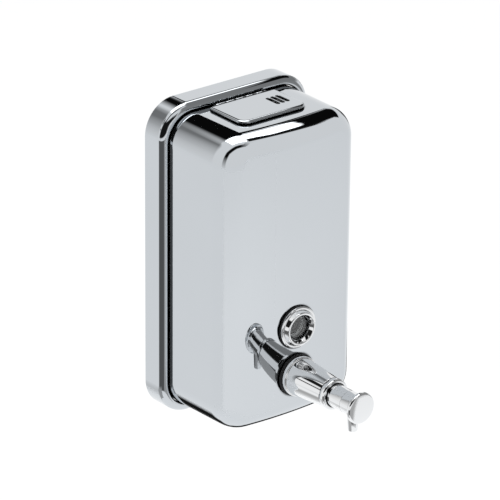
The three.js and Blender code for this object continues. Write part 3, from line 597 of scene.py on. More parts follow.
# Studio: cards that the steel and chrome mirror, and two softboxes. FLAGS gives each card's
# name, azimuths, elevations, brightness, the soft share of its left, right, lower and upper
# edge, its distance and the mirrors that see it.
STUDIO_CENTRE = Vector((0, -0.05, 0))
DARK = 0.01
FAR = 2.2
EVEN = (0.1, 0.1, 0.1, 0.1)
FLAGS = (
    ("rear_flag", (135, 208), (29, 66), BLACK, (0, 0.3, 0, 0.25), FAR, "satin"),
    ("pan_flag", (134, 182), (25, 62), BLACK, (0.15, 0.4, 0.2, 0.1), FAR, "sharp"),
    ("ridge_flag", (128, 146), (25.5, 31), DARK, (0.2, 0, 0.1, 0.1), FAR, "sharp"),
    ("ridge_grey", (34, 126), (8, 67), 0.27, EVEN, 1.4, "sharp"),
    ("rear_grey", (185, 232), (-12, 46), 0.25, (0.2, 0.4, 0.5, 0.1), 2.3, "all"),
    ("left_flag", (-112, -8), (4, 48), 0.012, (0.08, 0.1, 0.06, 0.1), 0.46, "sharp"),
    ("left_grey", (-118, -22), (-40, -11), 0.12, (0.1, 0, 0.1, 0), FAR, "sharp"),
    ("middle_grey", (-22, 32), (-40, -11), 0.45, (0, 0.1, 0.1, 0), FAR, "sharp"),
    ("low_grey", (-165, -60), (-60, -28), 0.45, (0.35, 0.1, 0, 0.25), 1.5, "sharp"),
    ("valve_flag", (-34, 12), (9, 30), DARK, (0.1, 0.1, 0.15, 0.1), FAR, "sharp"),
    ("front_flag", (12, 76), (-16, 50), 0.3, (0.1, 0.1, 0.1, 0.05), 2.1, "sharp"),
    ("right_flag", (70, 98), (46, 67), DARK, (0.1, 0, 0.1, 0.2), FAR, "all"),
    ("edge_flag", (112, 133), (-12, 10), DARK, (0.2, 0.1, 0.15, 0.3), FAR, "all"),
    ("low_flag", (106, 165), (-74, -27), DARK, (0.15, 0.15, 0.1, 0.05), 0.7, "satin"),
    ("low_rear_flag", (150, 206), (-66, -38), DARK, (0.2, 0.3, 0.1, 0.15), 1.45, "satin"),
    ("low_corner_flag", (160, 180), (-50, -36), DARK, (0.3, 0.3, 0.3, 0.3), FAR, "sharp"),
    ("front_glow", (-85, 75), (-60, -15), 1.15, (0.05, 0.35, 0.85, 0.22), 0.8, "satin"),
    ("right_glow", (84, 136), (-60, -15), 1.15, (0.3, 0.3, 0.85, 0.22), 0.8, "satin"),
)
BARREL_FLAGS = (
    ("barrel_flag", (-130, -113), (27, 46), DARK, (0.1, 0.1, 0.15, 0.1), FAR, "sharp"),
    ("barrel_line", (-125, -110), (13, 18), DARK, EVEN, FAR, "sharp"),
)
FLAG_COLUMNS, FLAG_LINES = 28, 16

# A narrow black card that arches over the front and down its left side, along azimuths and
# elevations
CORNER_PATH = ((70, 63), (16, 64), (-54, 63), (-80, 38), (-83, 13), (-85, -14))
CORNER_BAND = Sizes(width=16, steps=6, fade=0.3, distance=2, across=(-1, -0.6, 0, 0.6, 1))

# A level black sheet above the right side, in millimetres: its distance before the wall, its
# left and right ends and how dark it is there, from front to rear
PANEL_EDGES = ((-100, 122, 330, 0), (-84, 122, 330, 1), (0, 126, 330, 1), (40, 138, 330, 1),
               (95, 150, 330, 1), (145, 165, 330, 0))
PANEL_HEIGHT = 250
PANEL_SHARES = (0, 0.04, 0.5, 0.9, 1)

# Each softbox: its azimuth, elevation, width and height in degrees
SOFTBOXES = (("right_softbox", 113, 48, 24, 26), ("crown_softbox", 165, 76, 44, 36))
SOFTBOX_GLOW = 2.6  # where white is one
SOFTBOX_DISTANCE = 1.6


def toward(azimuth, elevation):
    """A direction from the object: azimuth 0 is out of the front and 90 to its right."""
    a, e = radians(azimuth), radians(elevation)
    return Vector((sin(a) * cos(e), -cos(a) * cos(e), sin(e)))


def softbox(name, azimuth, elevation, width, height):
    """A lamp that fills a width and a height of angle, seen from the object."""
    size_x, size_y = (2 * SOFTBOX_DISTANCE * tan(radians(angle / 2))
                      for angle in (width, height))
    light = bpy.data.lights.new(name, "AREA")
    light.shape = "RECTANGLE"
    light.size, light.size_y = size_x, size_y
    light.energy = SOFTBOX_GLOW * pi * size_x * size_y
    made = thing(name, light)
    direction = toward(azimuth, elevation)
    turn = (-direction).to_track_quat("-Z", "Y").to_matrix().to_4x4()
    made.matrix_world = Matrix.Translation(STUDIO_CENTRE + direction * SOFTBOX_DISTANCE) @ turn
    made.visible_camera = False


def card(name, rows, cover, shade=BLACK, seen="all", hides_lamps=False):
    """A sheet through rows of points that only mirrors see, as bright as its shade. cover
    gives how solid it is at each point. seen keeps it to the sharp mirrors of chrome and
    polish, or to the satin ones. With hides_lamps set, it shades the pieces from lamps too."""
    mesh = bpy.data.meshes.new(name)
    verts, faces = loft(rows, closed_rings=False)
    mesh.from_pydata(verts, [], faces)
    mesh.attributes.new("cover", "FLOAT", "POINT").data.foreach_set("value", cover)
    made = thing(name, mesh)
    look = bpy.data.materials.new(name)
    tree = empty_tree(look)
    solid = node(tree, "ShaderNodeAttribute", attribute_name="cover").outputs["Fac"]
    if seen != "all":
        kept = node(tree, "ShaderNodeLightPath").outputs["Is Singular Ray"]
        if seen == "satin":
            kept = maths(tree, "SUBTRACT", 1, kept)
        solid = maths(tree, "MULTIPLY", solid, kept)
    clear = node(tree, "ShaderNodeBsdfTransparent")
    glow = node(tree, "ShaderNodeEmission", Color=(shade, shade, shade, 1))
    mix = node(tree, "ShaderNodeMixShader", solid, clear.outputs[0], glow.outputs[0])
    node(tree, "ShaderNodeOutputMaterial", mix.outputs[0])
    mesh.materials.append(look)
    made.visible_camera = made.visible_diffuse = False
    made.visible_shadow = hides_lamps


def flag(name, azimuths, elevations, shade, fade, distance, seen):
    """A card curved round the object between two azimuths and two elevations."""
    rows, cover = [], []
    for j in range(FLAG_LINES + 1):
        v = j / FLAG_LINES
        elevation = elevations[0] + (elevations[1] - elevations[0]) * v
        rows.append([])
        for i in range(FLAG_COLUMNS + 1):
            u = i / FLAG_COLUMNS
            azimuth = azimuths[0] + (azimuths[1] - azimuths[0]) * u
            rows[-1].append(STUDIO_CENTRE + toward(azimuth, elevation) * distance)
            edges = zip((u, 1 - u, v, 1 - v), fade)
            cover.append(prod(min(1, near / soft) if soft else 1 for near, soft in edges))
    card(name, rows, cover, shade, seen)


def corner_band():
    """The arched card, its two ends and its sides faded out."""
    marks = [toward(azimuth, elevation) for azimuth, elevation in CORNER_PATH]
    rows, cover = [], []
    steps = CORNER_BAND.steps * (len(marks) - 1)
    for j in range(steps + 1):
        place = j / CORNER_BAND.steps
        first = min(int(place), len(marks) - 2)
        step = marks[first + 1] - marks[first]
        middle = (marks[first] + step * (place - first)).normalized()
        reach = tan(radians(CORNER_BAND.width / 2))
        side = middle.cross(step.normalized()).normalized() * reach
        rows.append([STUDIO_CENTRE + (middle + side * across) * CORNER_BAND.distance
                     for across in CORNER_BAND.across])
        near = min(1, j / steps / CORNER_BAND.fade, (1 - j / steps) / CORNER_BAND.fade)
        cover += [0, near, near, near, 0]
    card("corner_band", rows, cover)


def right_panel():
    """The level sheet, which also stands between the pieces and the lamps."""
    rows, cover = [], []
    for y, left, right, dark in PANEL_EDGES:
        rows.append([Vector((left + (right - left) * share, y, PANEL_HEIGHT)) * MM
                     for share in PANEL_SHARES])
        cover += [0, dark, dark, dark, 0]
    card("right_panel", rows, cover, hides_lamps=True)


def studio():
    """Cards and softboxes round the object, placed by the photo's reflections."""
    for row in FLAGS:
        flag(*row)
    corner_band()
    right_panel()
    for row in BARREL_FLAGS:
        flag(*row)
    for row in SOFTBOXES:
        softbox(*row)


# Pan, tank and back plate

def crown(x):
    """How much the tank's front falls away to each side."""
    return TANK.crown * (x / TANK.half_width) ** 2


def pan_ring(inset, depth):
    """A ring drawn in from the pan's outline."""
    corner = PAN.corner - inset * (PAN.corner - TANK.corner) / PAN.step
    outline = frame_outline(PAN.half_width - inset, PAN.half_height - inset, corner, SIDE)
    return [(x, -depth, z) for x, z in outline]


def back_pan():
    """A tray whose wide front roll turns back along the tank as a lip."""
    edge = PAN.step - FIT - PAN.roll
    middle = PAN.depth - edge
    lip = edge + PAN.roll
    lip_end = PAN.depth - PAN.lip
    profile = [(0, 0), *((0, middle * share) for share in PAN.wall_shares),
               *arc(edge, middle, edge, HALF, QUARTER, 14),
               *arc(edge, PAN.depth - PAN.roll, PAN.roll, QUARTER, 0, 8)[1:],
               (lip, lip_end), (lip - PAN.lip_tip[0], lip_end - PAN.lip_tip[1]),
               (lip - SHEET, lip_end), (lip - SHEET, PAN.depth - SHEET),
               *arc(edge, middle, edge - SHEET, QUARTER, HALF, 10), (SHEET, PAN.rim_break),
               (SHEET - PAN.rim_break, 0)]
    rings = [pan_ring(inset, depth) for inset, depth in profile]
    skin = finish_mesh("back_pan_skin", *loft(rings, endless=True))
    hole = turned("hole", rod(SCREW.pan_hole, 0, SCREW.hole_length), lock_place, SMALL_STEPS)
    piece("back_pan_skin", carved(skin, [hole]), POLISHED, stands_for=["back_pan"])


def tank_ring(skin, turn=0, flat_depth=None):
    """A ring of the tank's wall. skin is how far it lies under the outer surface, and turn is
    the angle round the front roll. With flat_depth, it lies level behind the roll."""
    inset = skin + (TANK.edge - skin) * (1 - cos(turn))
    depth = TANK.depth - skin - (TANK.edge_depth - skin) * (1 - sin(turn))
    if flat_depth is not None:
        depth = flat_depth
    taper = TANK.draft * max(depth - PAN.depth, 0) / (TANK.depth - PAN.depth)
    inset += taper
    outline = frame_outline(TANK.half_width - inset, TANK.half_height - inset,
                            TANK.corner - inset + taper)
    return [(x, (crown(x) if flat_depth is None else 0) - depth, z) for x, z in outline]


def tank_wall(skin, steps=20):
    """The rings from the tank's tail to the end of its front roll."""
    depths = (TANK.tail, PAN.depth - TANK.seam, PAN.depth, PAN.depth + TANK.seam)
    return [*(tank_ring(skin, flat_depth=depth) for depth in depths),
            *(tank_ring(skin, QUARTER * i / steps) for i in range(steps + 1))]


def tank_front(ring, depth):
    """The grid that closes the tank's front inside its last ring."""
    first = len(SIDE) - 1
    across = 2 * (CORNER_STEPS - 1) + len(SPAN) + 2
    top = ring[first:first + across]
    return [[(x, crown(x) - depth, z * (1 - 2 * share)) for x, _, z in top] for share in SIDE]


def mouth_outline(grow, steps=10):
    """The mouth, as (y, x) points, grown by a distance all round."""
    low, high = MOUTH.margin - grow - LID_FRONT, grow - MOUTH.margin - LID.rear
    half, corner = LID.half_width - MOUTH.margin + grow, MOUTH.corner + grow
    points = arc(high - corner, half - corner, corner, 0, QUARTER, steps)
    points += arc(low + corner, half - corner, corner, QUARTER, HALF, steps)
    return points + [(y, -x) for y, x in reversed(points)]


def tank():
    """A drawn shell with a rolled front edge, and its mouth and two holes cut through."""
    verts, faces = [], []
    outer, inner = tank_wall(0), tank_wall(SHEET)
    for rings, closed in ((outer, True), (inner, True),
                          (tank_front(outer[-1], TANK.depth), False),
                          (tank_front(inner[-1], TANK.depth - SHEET), False),
                          ([outer[0], inner[0]], True)):
        more, quads = loft(rings, closed_rings=closed, start=len(verts))
        verts += more
        faces += quads
    skin = finish_mesh("tank_skin", verts, faces)
    hole = rod(STUB_HOLE, -SHEET - OVERRUN, OVERRUN)
    cuts = [turned("hole", hole, out_of_front(height)) for height in (WINDOW_Z, VALVE_Z)]
    mouth = [(x, y) for y, x in mouth_outline(MOUTH.roll)]
    cuts.append(prism("mouth", mouth, upward, TANK.half_height - MOUTH.cut_below,
                      TANK.half_height + MOUTH.cut_above))
    piece("tank_skin", carved(skin, cuts), SATIN, stands_for=["tank_shell"])


def mouth_lip():
    """The turned-down edge round the mouth, rolled over from the tank's top."""
    top, roll = TANK.half_height, MOUTH.roll
    end = top - MOUTH.collar
    profile = [*arc(MOUTH.seat, top - roll, roll, QUARTER, HALF, 8), (0, end + BREAK),
               (BREAK, end), (SHEET - BREAK, end), (SHEET, end + BREAK),
               (SHEET, top - roll - MOUTH.land),
               *arc(MOUTH.seat, top - roll, roll - SHEET, HALF, QUARTER, 4)]
    rings = [[(x, y, z) for y, x in mouth_outline(grow)] for grow, z in profile]
    piece("mouth_lip", finish_mesh("mouth_lip", *loft(rings, endless=True)), POLISHED)


def back_plate():
    """The plate that closes the tank behind, its rim turned back along the tank's wall."""
    rim = PAN.step + SHEET + FIT
    middle, depth = rim + BACK.edge, BACK.recess + SHEET - BACK.edge
    profile = [(middle + BACK.flat, BACK.recess + SHEET),
               *arc(middle, depth, BACK.edge, QUARTER, HALF, 8), (rim, TANK.tail + BREAK),
               (rim + BREAK, TANK.tail), (rim + SHEET - BREAK, TANK.tail),
               *arc(middle, depth, BACK.edge - SHEET + BREAK, HALF, QUARTER, 5),
               (middle + BACK.flat, BACK.recess + BREAK)]
    mesh = capped("back_plate_skin", [pan_ring(inset, depth) for inset, depth in profile])
    piece("back_plate_skin", mesh, PLAIN, stands_for=["back_plate"])


# Wall bracket, rail and lock screw

BRACKET = Sizes(half_width=35, top=52, corner=4, sheet=1.5, edge=0.12, cut=(-1, 3))
TONGUE = Sizes(x=22, half_width=7, window=(28, 43.6), root=26.5, out=4.8, bend=1.2,
               top=40)
WALL_SLOT = Sizes(x=26, heights=(-80, 10), half_width=2.6, half_length=4.5)
FOOT = Sizes(depth=8, half_width=31)
RAIL = Sizes(sheet=1.2, half_width=33, lip=1.8, lip_end=35.5, top=41.5, flange=7.5,
             flange_top=50.3, bends=(1.4, 0.6))
SCREW = Sizes(y=-4.75, bottom=-108, shank=1.9, head=3.6, face=2.5, pan_hole=2.2,
              foot_hole=2, hole_length=8, slot=0.4, slot_end=1.6, slot_half_length=6)
SCREW_ALONG = Sizes(tip=9, under=2.7, rim=1.6, face=0.5)


def box_outline(left, right, low, high):
    """A rectangle, walked anticlockwise."""
    return [(left, low), (right, low), (right, high), (left, high)]


def wall_bracket():
    """A plate with slots for wall screws, two tongues before their windows and a foot."""
    bottom = SHEET + FIT - PAN.half_height
    half_height, middle = (BRACKET.top - bottom) / 2, (BRACKET.top + bottom) / 2
    outline = []
    for sx, sz, start in ((1, 1, 0), (-1, 1, 1), (-1, -1, 2), (1, -1, 3)):
        outline += arc(sx * (BRACKET.half_width - BRACKET.corner),
                       middle + sz * (half_height - BRACKET.corner), BRACKET.corner,
                       start * QUARTER, (start + 1) * QUARTER, 8)
    plate = bar("wall_bracket_plate", outline, forward, 0, BRACKET.sheet)
    cuts = []
    for side in (-1, 1):
        left = side * TONGUE.x - TONGUE.half_width
        window_outline = box_outline(left, left + 2 * TONGUE.half_width, *TONGUE.window)
        cuts.append(prism("window", window_outline, forward, *BRACKET.cut))
        for height in WALL_SLOT.heights:
            slot = capsule(side * WALL_SLOT.x, height, WALL_SLOT.half_width,
                           WALL_SLOT.half_length)
            cuts.append(prism("slot", slot, forward, *BRACKET.cut))
    piece("wall_bracket_plate", combined(plate, cuts), PLAIN, stands_for=["wall_bracket"])
    strip = ribbon([(0, TONGUE.root, 0), (TONGUE.out, TONGUE.root, TONGUE.bend),
                    (TONGUE.out, TONGUE.top, 0)], BRACKET.sheet)
    for side, name in ((-1, "bracket_tongue_left"), (1, "bracket_tongue_right")):
        left = side * TONGUE.x - TONGUE.half_width
        piece(name, bar(name, strip, sideways, left, left + 2 * TONGUE.half_width,
                        BRACKET.edge), PLAIN)
    foot = box_outline(0, FOOT.depth, bottom, bottom + BRACKET.sheet)
    solid = bar("bracket_foot", foot, sideways, -FOOT.half_width, FOOT.half_width, BRACKET.edge)
    hole = turned("hole", rod(SCREW.foot_hole, 0, SCREW.hole_length), lock_place, SMALL_STEPS)
    piece("bracket_foot", combined(solid, [hole]), PLAIN)


def hanger_rail():
    """A strip whose lip hangs behind the tongues and whose flange is welded to the tank."""
    strip = ribbon([(RAIL.lip, RAIL.lip_end, 0), (RAIL.lip, RAIL.top, RAIL.bends[0]),
                    (RAIL.flange, RAIL.top, RAIL.bends[1]), (RAIL.flange, RAIL.flange_top, 0)],
                   -RAIL.sheet)
    rail = bar("hanger_rail_skin", strip[::-1], sideways, -RAIL.half_width, RAIL.half_width,
               BRACKET.edge)
    piece("hanger_rail_skin", rail, PLAIN, stands_for=["hanger_rail"])


def lock_screw():
    """The slotted screw that locks the pan to the bracket's foot."""
    along = SCREW_ALONG
    profile = eased([(0, along.tip), (SCREW.shank, along.tip), (SCREW.shank, along.under),
                     (SCREW.head, along.under), (SCREW.head, along.rim),
                     (SCREW.face, along.face), (0, along.face)],
                    (0, 0.4, 0.1, 0.2, 0.5, 0.4, 0))
    screw = turned("lock_screw_skin", profile, lock_place, SMALL_STEPS)
    slot = box_outline(-SCREW.slot_half_length, SCREW.slot_half_length, -SCREW.slot, SCREW.slot)
    cut = prism("slot", slot, across_axis(lock_place), 0, SCREW.slot_end)
    piece("lock_screw_skin", combined(screw, [cut]), BRIGHT, stands_for=["lock_screw"])


# Lid, hinge and latch

LATCH = Sizes(sheet=0.4, half_width=6, gap=0.6, root=-10, bend_start=-4, nose=3,
              bite=1.5, edge=0.06, pitch=2.5, bends=(0.35, 0.3, 1))


def lid_ring(inset, height, steps=10):
    """The lid's outline drawn in, from its rear edge round to its front edge and back."""
    low, high = inset - LID_FRONT, -inset - LID.rear
    half = LID.half_width - inset
    front = max(LID.corner - inset, LID.least_corner)
    rear = max(LID.rear_corner - inset, LID.least_corner)
    points = arc(high - rear, half - rear, rear, 0, QUARTER, steps)
    points += [(high - rear - (high - rear - low - front) * s, half) for s in LID.side_shares]
    points += arc(low + front, half - front, front, QUARTER, HALF, steps)
    points += [(low, (half - front) * s) for s in (LID.side_shares[1], 0)]
    lower = [(y, -x) for y, x in reversed(points[:-1])]
    return [(x, y, height) for y, x in points + lower]


def knuckle_spans(for_lid):
    """Where the lid's knuckles lie along the pin, or the leaf's, taken in turn."""
    pitch = HINGE.length / HINGE.count
    starts = [i * pitch - HINGE.length / 2 for i in range(HINGE.count)]
    own = [s for i, s in enumerate(starts) if (i % 2 == 1) == for_lid]
    return [(s + HINGE.gap / 2, s + pitch - HINGE.gap / 2) for s in own]


def knuckles(name, for_lid, body):
    """The rolled knuckles of one side of the hinge."""
    for i, (low, high) in enumerate(knuckle_spans(for_lid)):
        profile = band(HINGE.pin + RUNNING, HINGE.knuckle, low, high, (0, 0.1, 0.1, 0))
        piece(f"{name}_{i + 1}", turned(name, profile, hinge_place, KNUCKLE_STEPS, PIN_BENDS),
              POLISHED, body)


def knuckle_rooms(for_lid):
    """Cuts that clear one side's knuckles from the other side's sheet."""
    return [turned("room", rod(HINGE.knuckle + FIT, low - FIT, high + FIT), hinge_place,
                   PIN_STEPS) for low, high in knuckle_spans(for_lid)]


def key_slot(x, top):
    """A cut for one key slot, widened at the lid's top."""
    heights = ((0, top - KEY.below), (0, top - KEY.bevel), (KEY.bevel, top),
               (KEY.bevel, top + KEY.above))
    return capped("slot", [[(u, v, height) for u, v in capsule(
        x, -LID.rear - KEY.setback, KEY.half_width + grow, KEY.half_length + grow)]
        for grow, height in heights])


def lid():
    """A pressed cover with a turned-down rim, three key slots and its hinge knuckles."""
    top, bottom, sheet = TANK.half_height + LID.rise, TANK.half_height + FIT, LID.sheet
    profile = [*((inset, top) for inset in LID.flats),
               *arc(LID.roll, top - LID.roll, LID.roll, QUARTER, HALF, 12),
               (0, bottom + LID.nick), (LID.nick, bottom), (sheet - LID.nick, bottom),
               (sheet, bottom + LID.nick), (sheet, top - sheet - BREAK),
               (sheet + BREAK, top - sheet), (sheet + LID.under, top - sheet),
               (LID.flats[0], top - sheet)]
    skin = capped("lid_skin", [lid_ring(inset, height) for inset, height in profile])
    cuts = [key_slot(KEY.x + (i - 1) * KEY.pitch, top) for i in range(KEY.count)]
    piece("lid_skin", carved(skin, cuts + knuckle_rooms(False)), PRESSED, "lid", ["lid"])
    knuckles("lid_knuckle", True, "lid")


def hinge():
    """The leaf between pan and lid, its knuckles and the pin."""
    bottom = TANK.half_height + FIT
    leaf = box_outline(PAN.depth + FIT, -HINGE.y, bottom, bottom + HINGE.leaf)
    half = HINGE.length / 2
    strip = bar("hinge_leaf_skin", [leaf[0], leaf[3], leaf[2], leaf[1]], sideways,
                HINGE.gap / 2 - half, half - HINGE.gap / 2, HINGE.leaf_edge)
    piece("hinge_leaf_skin", combined(strip, knuckle_rooms(True)), POLISHED,
          stands_for=["hinge_leaf"])
    knuckles("leaf_knuckle", False, "root")
    pin = band(0, HINGE.pin, -half, half, (0, 0.15, 0.15, 0))
    turned_piece("hinge_pin", pin, hinge_place, BRIGHT, steps=PIN_STEPS, bends=PIN_BENDS)


def latch():
    """One bent strip: welded under the lid at its left end, its hook under the mouth's edge."""
    under = TANK.half_height + LID.rise - LID.sheet - FIT
    leg = LID.half_width - MOUTH.margin - LATCH.gap
    hook = TANK.half_height - MOUTH.collar - FIT
    bends = LATCH.bends
    path = [(leg - LATCH.nose, hook - LATCH.nose, 0), (leg + LATCH.bite, hook - LATCH.sheet, bends[0]),
            (leg, hook - LATCH.sheet / 2, bends[1]), (leg, under, bends[2]), (LATCH.bend_start, under, 0),
            (LATCH.root, under, 0)]
    dense = []
    for (u0, v0, r0), (u1, v1, _) in zip(path, path[1:]):
        dense.append((u0, v0, r0))
        parts = int(max(1, hypot(u1 - u0, v1 - v0) // LATCH.pitch))
        if parts > 2:
            dense += [(u0 + (u1 - u0) * i / parts, v0 + (v1 - v0) * i / parts, 0)
                      for i in range(1, parts)]
    dense.append(path[-1])
    middle = LID.rear + KEY.setback
    mesh = bar("latch_strip", ribbon(dense, LATCH.sheet), forward, middle - LATCH.half_width,
               middle + LATCH.half_width, LATCH.edge)
    spring_piece("latch_strip", mesh, "latch_spring")


# Nuts, washers and the sight window

INNER_WASHER = Sizes(radius=13.9, thickness=1.5)
NUT_SIDES = 6
NUT_SLOPE_SHARE = 0.6
WINDOW = Sizes(gasket=14.3, gasket_thickness=0.8, nut_flats=25, nut=4, sleeve_spare=1,
               bore=8.9, mouth=8.1, flange=13.8, flange_thickness=1.1, slope=(0.7, 0.4),
               ring_foot=11.9, crest=(11, 9.6), crest_rise=3, mouth_end=0.4,
               recess=0.8, lens=8.6, lens_thickness=2.4, dome=1, dome_steps=10,
               retainer_bore=6.2, seal_thickness=1.6, retainer_thickness=2.4)
WINDOW_EDGES = (0.2, 0.3, 0, 0.2, 0.35, 0.35, 0.35, 0.75, 0.7, 0.25, 0, 0)
LENS_EDGES = (0, 0.15, 0.1)
NOTCH = Sizes(half_length=11, half_width=1.2, depth=1.2)


def inner_washer(node_name, place):
    """The rubber washer between the tank's wall and a nut."""
    back = -INSIDE - INNER_WASHER.thickness
    profile = band(STUB_HOLE, INNER_WASHER.radius, back, -INSIDE)
    turned_piece(node_name, profile, place, RUBBER)


def nut_front():
    """Where a nut lies behind the inner washer."""
    return -INSIDE - INNER_WASHER.thickness - FIT


def nut(node_name, flats, thickness, place):
    """A hexagon nut whose corners are turned down at both ends."""
    name = f"{node_name}_skin"
    front = nut_front()
    back = front - thickness
    corner = flats / 2 / cos(HALF / NUT_SIDES)
    sides = [(corner * cos(TURN * i / NUT_SIDES), corner * sin(TURN * i / NUT_SIDES))
             for i in range(NUT_SIDES)]
    body = prism(name, sides, across_axis(place), back, front)
    slope = corner - flats / 2
    drop = slope * NUT_SLOPE_SHARE
    profile = eased([(STUB_HOLE, back), (corner - slope, back), (corner, back + drop),
                     (corner, front - drop), (corner - slope, front), (STUB_HOLE, front)],
                    (0, 0, 0, 0, 0, 0))
    shape = combined(body, [turned("turn", profile, place)], "INTERSECT")
    piece(name, shape, BRIGHT, stands_for=[node_name])


def window():
    """Gasket, bezel, domed lens, seal, retainer, inner washer and nut, from front to rear."""
    place = out_of_front(WINDOW_Z)
    gasket_front = FIT + WINDOW.gasket_thickness
    back = gasket_front + FIT
    face = back + WINDOW.flange_thickness
    crest = face + WINDOW.crest_rise
    shoulder = face - WINDOW.recess
    lens_front = shoulder - FIT
    lens_back = lens_front - WINDOW.lens_thickness
    sleeve_end = nut_front() - WINDOW.nut - WINDOW.sleeve_spare
    turned_piece("window_gasket", band(STUB_HOLE, WINDOW.gasket, FIT, gasket_front,
                                       (0, 0.25, 0.25, 0)), place, RUBBER)
    bezel = eased([(WINDOW.bore, sleeve_end), (STUB, sleeve_end), (STUB, back),
                   (WINDOW.flange, back), (WINDOW.flange, face - WINDOW.slope[1]),
                   (WINDOW.flange - WINDOW.slope[0], face), (WINDOW.ring_foot, face),
                   (WINDOW.crest[0], crest), (WINDOW.crest[1], crest),
                   (WINDOW.mouth, face + WINDOW.mouth_end), (WINDOW.mouth, shoulder),
                   (WINDOW.bore, shoulder)], WINDOW_EDGES)
    turned_piece("window_bezel", bezel, place, CHROME)
    turns = [QUARTER * i / WINDOW.dome_steps for i in range(WINDOW.dome_steps)]
    dome = [((WINDOW.mouth - FIT) * cos(turn), lens_front + WINDOW.dome * sin(turn), 0)
            for turn in turns]
    lens = [*eased([(0, lens_back), (WINDOW.lens, lens_back), (WINDOW.lens, lens_front)],
                   LENS_EDGES), *dome, (0, lens_front + WINDOW.dome, 0)]
    turned_piece("window_lens", lens, place, CLEAR)
    seal_front = lens_back - FIT
    seal_back = seal_front - WINDOW.seal_thickness
    turned_piece("window_seal", band(WINDOW.retainer_bore, WINDOW.lens, seal_back, seal_front),
                 place, RUBBER)
    inner_washer("window_inner_washer", place)
    front = seal_back - FIT
    rear = front - WINDOW.retainer_thickness
    ring = turned("window_retainer_skin", band(WINDOW.retainer_bore, WINDOW.lens, rear, front,
                                               (0.2, 0.2, 0.2, 0.2)), place)
    notch = box_outline(-NOTCH.half_length, NOTCH.half_length, -NOTCH.half_width,
                        NOTCH.half_width)
    cut = prism("notch", notch, across_axis(place), rear - NOTCH.depth, rear + NOTCH.depth)
    piece("window_retainer_skin", combined(ring, [cut]), PLASTIC,
          stands_for=["window_retainer"])
    nut("window_nut", WINDOW.nut_flats, WINDOW.nut, place)


# Valve: along is measured out of the tank's front

VALVE = Sizes(washer=13.9, washer_thickness=2, nut_flats=26, nut=5, stub_spare=3,
              bore=8.6, flange=13.2, flange_thickness=2.6, base=12.3, mouth=9.96, length=31.9)
BARREL_EDGES = (0.3, 0.5, 0, 0.25, 0.8, 0.45, 0.55, 0.2)
COLLAR = Sizes(radius=10.2, rear=10.15, rear_length=1.2, length=4, sleeve=3, groove=9.1,
               groove_start=0.8, groove_length=2.4)
COLLAR_EDGES = (0.2, 0.3, 0, 0.3, 0.3, 1.3, 0.3, 0, 0, 0, 0)
PLUNGER = Sizes(radius=7.6, rear=27.5, shoulder=31.5, front=51.25, tip=53.5, chamber=3.6,
                chamber_length=13, spigot=5.2, channel=2.2)
PLUNGER_EDGES = (0.2, 0.3, 0, 0.3, 0, 0, 0.2, 0, 0, 0)
PISTON = Sizes(length=8, socket=4, groove=6.6, groove_start=0.4, groove_length=2.4,
               seat=1.4)
PISTON_EDGES = (0.2, 0.3, 0, 0, 0, 0.2, 0.3, 0.2, 0, 0.2, 0.2)
SEAL_EDGES = (0.3, 0.4, 0.4, 0.3)
HEAD = Sizes(rear=51.3, hub=7.6, hub_length=7.1, flare=2.7, thickness=2.6, radius=10.3,
             socket_length=2.5, dome_edge=(5, 0.45), dome=0.6, wall=2)
HUB_EDGES = (0.15, 0.1)
HEAD_EDGES = (0.3, 1.2, 0, 0, 0, 0, 0, 0)
SPOUT = Sizes(setback=4.1, bore=1.4, root=(3.9, 6.6), waist=(3.6, 11), tip=(3, 18))
SPOUT_EDGES = (0, 0, 1.5, 0.9, 0.2)
INLET = Sizes(axis=-21.26, housing=6.5, shoulder=3, nose=-1, bore=4, bore_end=-21, riser=6,
              chamber=3.8, riser_span=(4, 22.8), hole=2, flange=1.8, spigot=4)
INLET_EDGES = (0, 2, 0.3, 0.4, 0.3, 0, 0.3, 0.2, 0, 0)
RISER_EDGES = (0, 0, 0.3, 0.2)
SEAT_EDGES = (0.2, 0.3, 0, 0.2, 0.4, 0.3)
BALL_RADIUS = 3
OUTLET_BALL = 28.14
INLET_BALL_DROP = 18.16  # below the valve's axis
NOZZLE_STEPS = 64
OUTLET_COIL = Sizes(radius=2.1, wire=0.5, turns=5)
RETURN_COIL = Sizes(radius=6.6, wire=1.1, turns=8)


def valve():
    """The washer and barrel on the tank's front and what moves or is held inside them."""
    place = out_of_front(VALVE_Z)
    washer_front = FIT + VALVE.washer_thickness
    flange_back = washer_front + FIT
    flange = flange_back + VALVE.flange_thickness
    barrel_end = flange_back + VALVE.length
    stub_end = nut_front() - VALVE.nut - VALVE.stub_spare
    turned_piece("valve_washer", band(STUB_HOLE, VALVE.washer, FIT, washer_front,
                                      (0, 0.3, 0.5, 0)), place, RUBBER)
    barrel = eased([(VALVE.bore, stub_end), (STUB, stub_end), (STUB, flange_back),
                    (VALVE.flange, flange_back), (VALVE.flange, flange), (VALVE.base, flange),
                    (VALVE.mouth, barrel_end), (VALVE.bore, barrel_end)], BARREL_EDGES)
    turned_piece("valve_barrel", barrel, place, CHROME)
    inner_washer("valve_inner_washer", place)
    nut("valve_nut", VALVE.nut_flats, VALVE.nut, place)
    collar(place, barrel_end)
    plunger(place)
    push_head(place)
    inlet(place, stub_end)
    ball("outlet_ball", (0, -TANK.depth - OUTLET_BALL, VALVE_Z))
    ball("inlet_ball", (0, -TANK.depth - INLET.axis, VALVE_Z - INLET_BALL_DROP))
    coil("outlet_spring", OUTLET_COIL, place)
    coil("return_spring", RETURN_COIL, place)


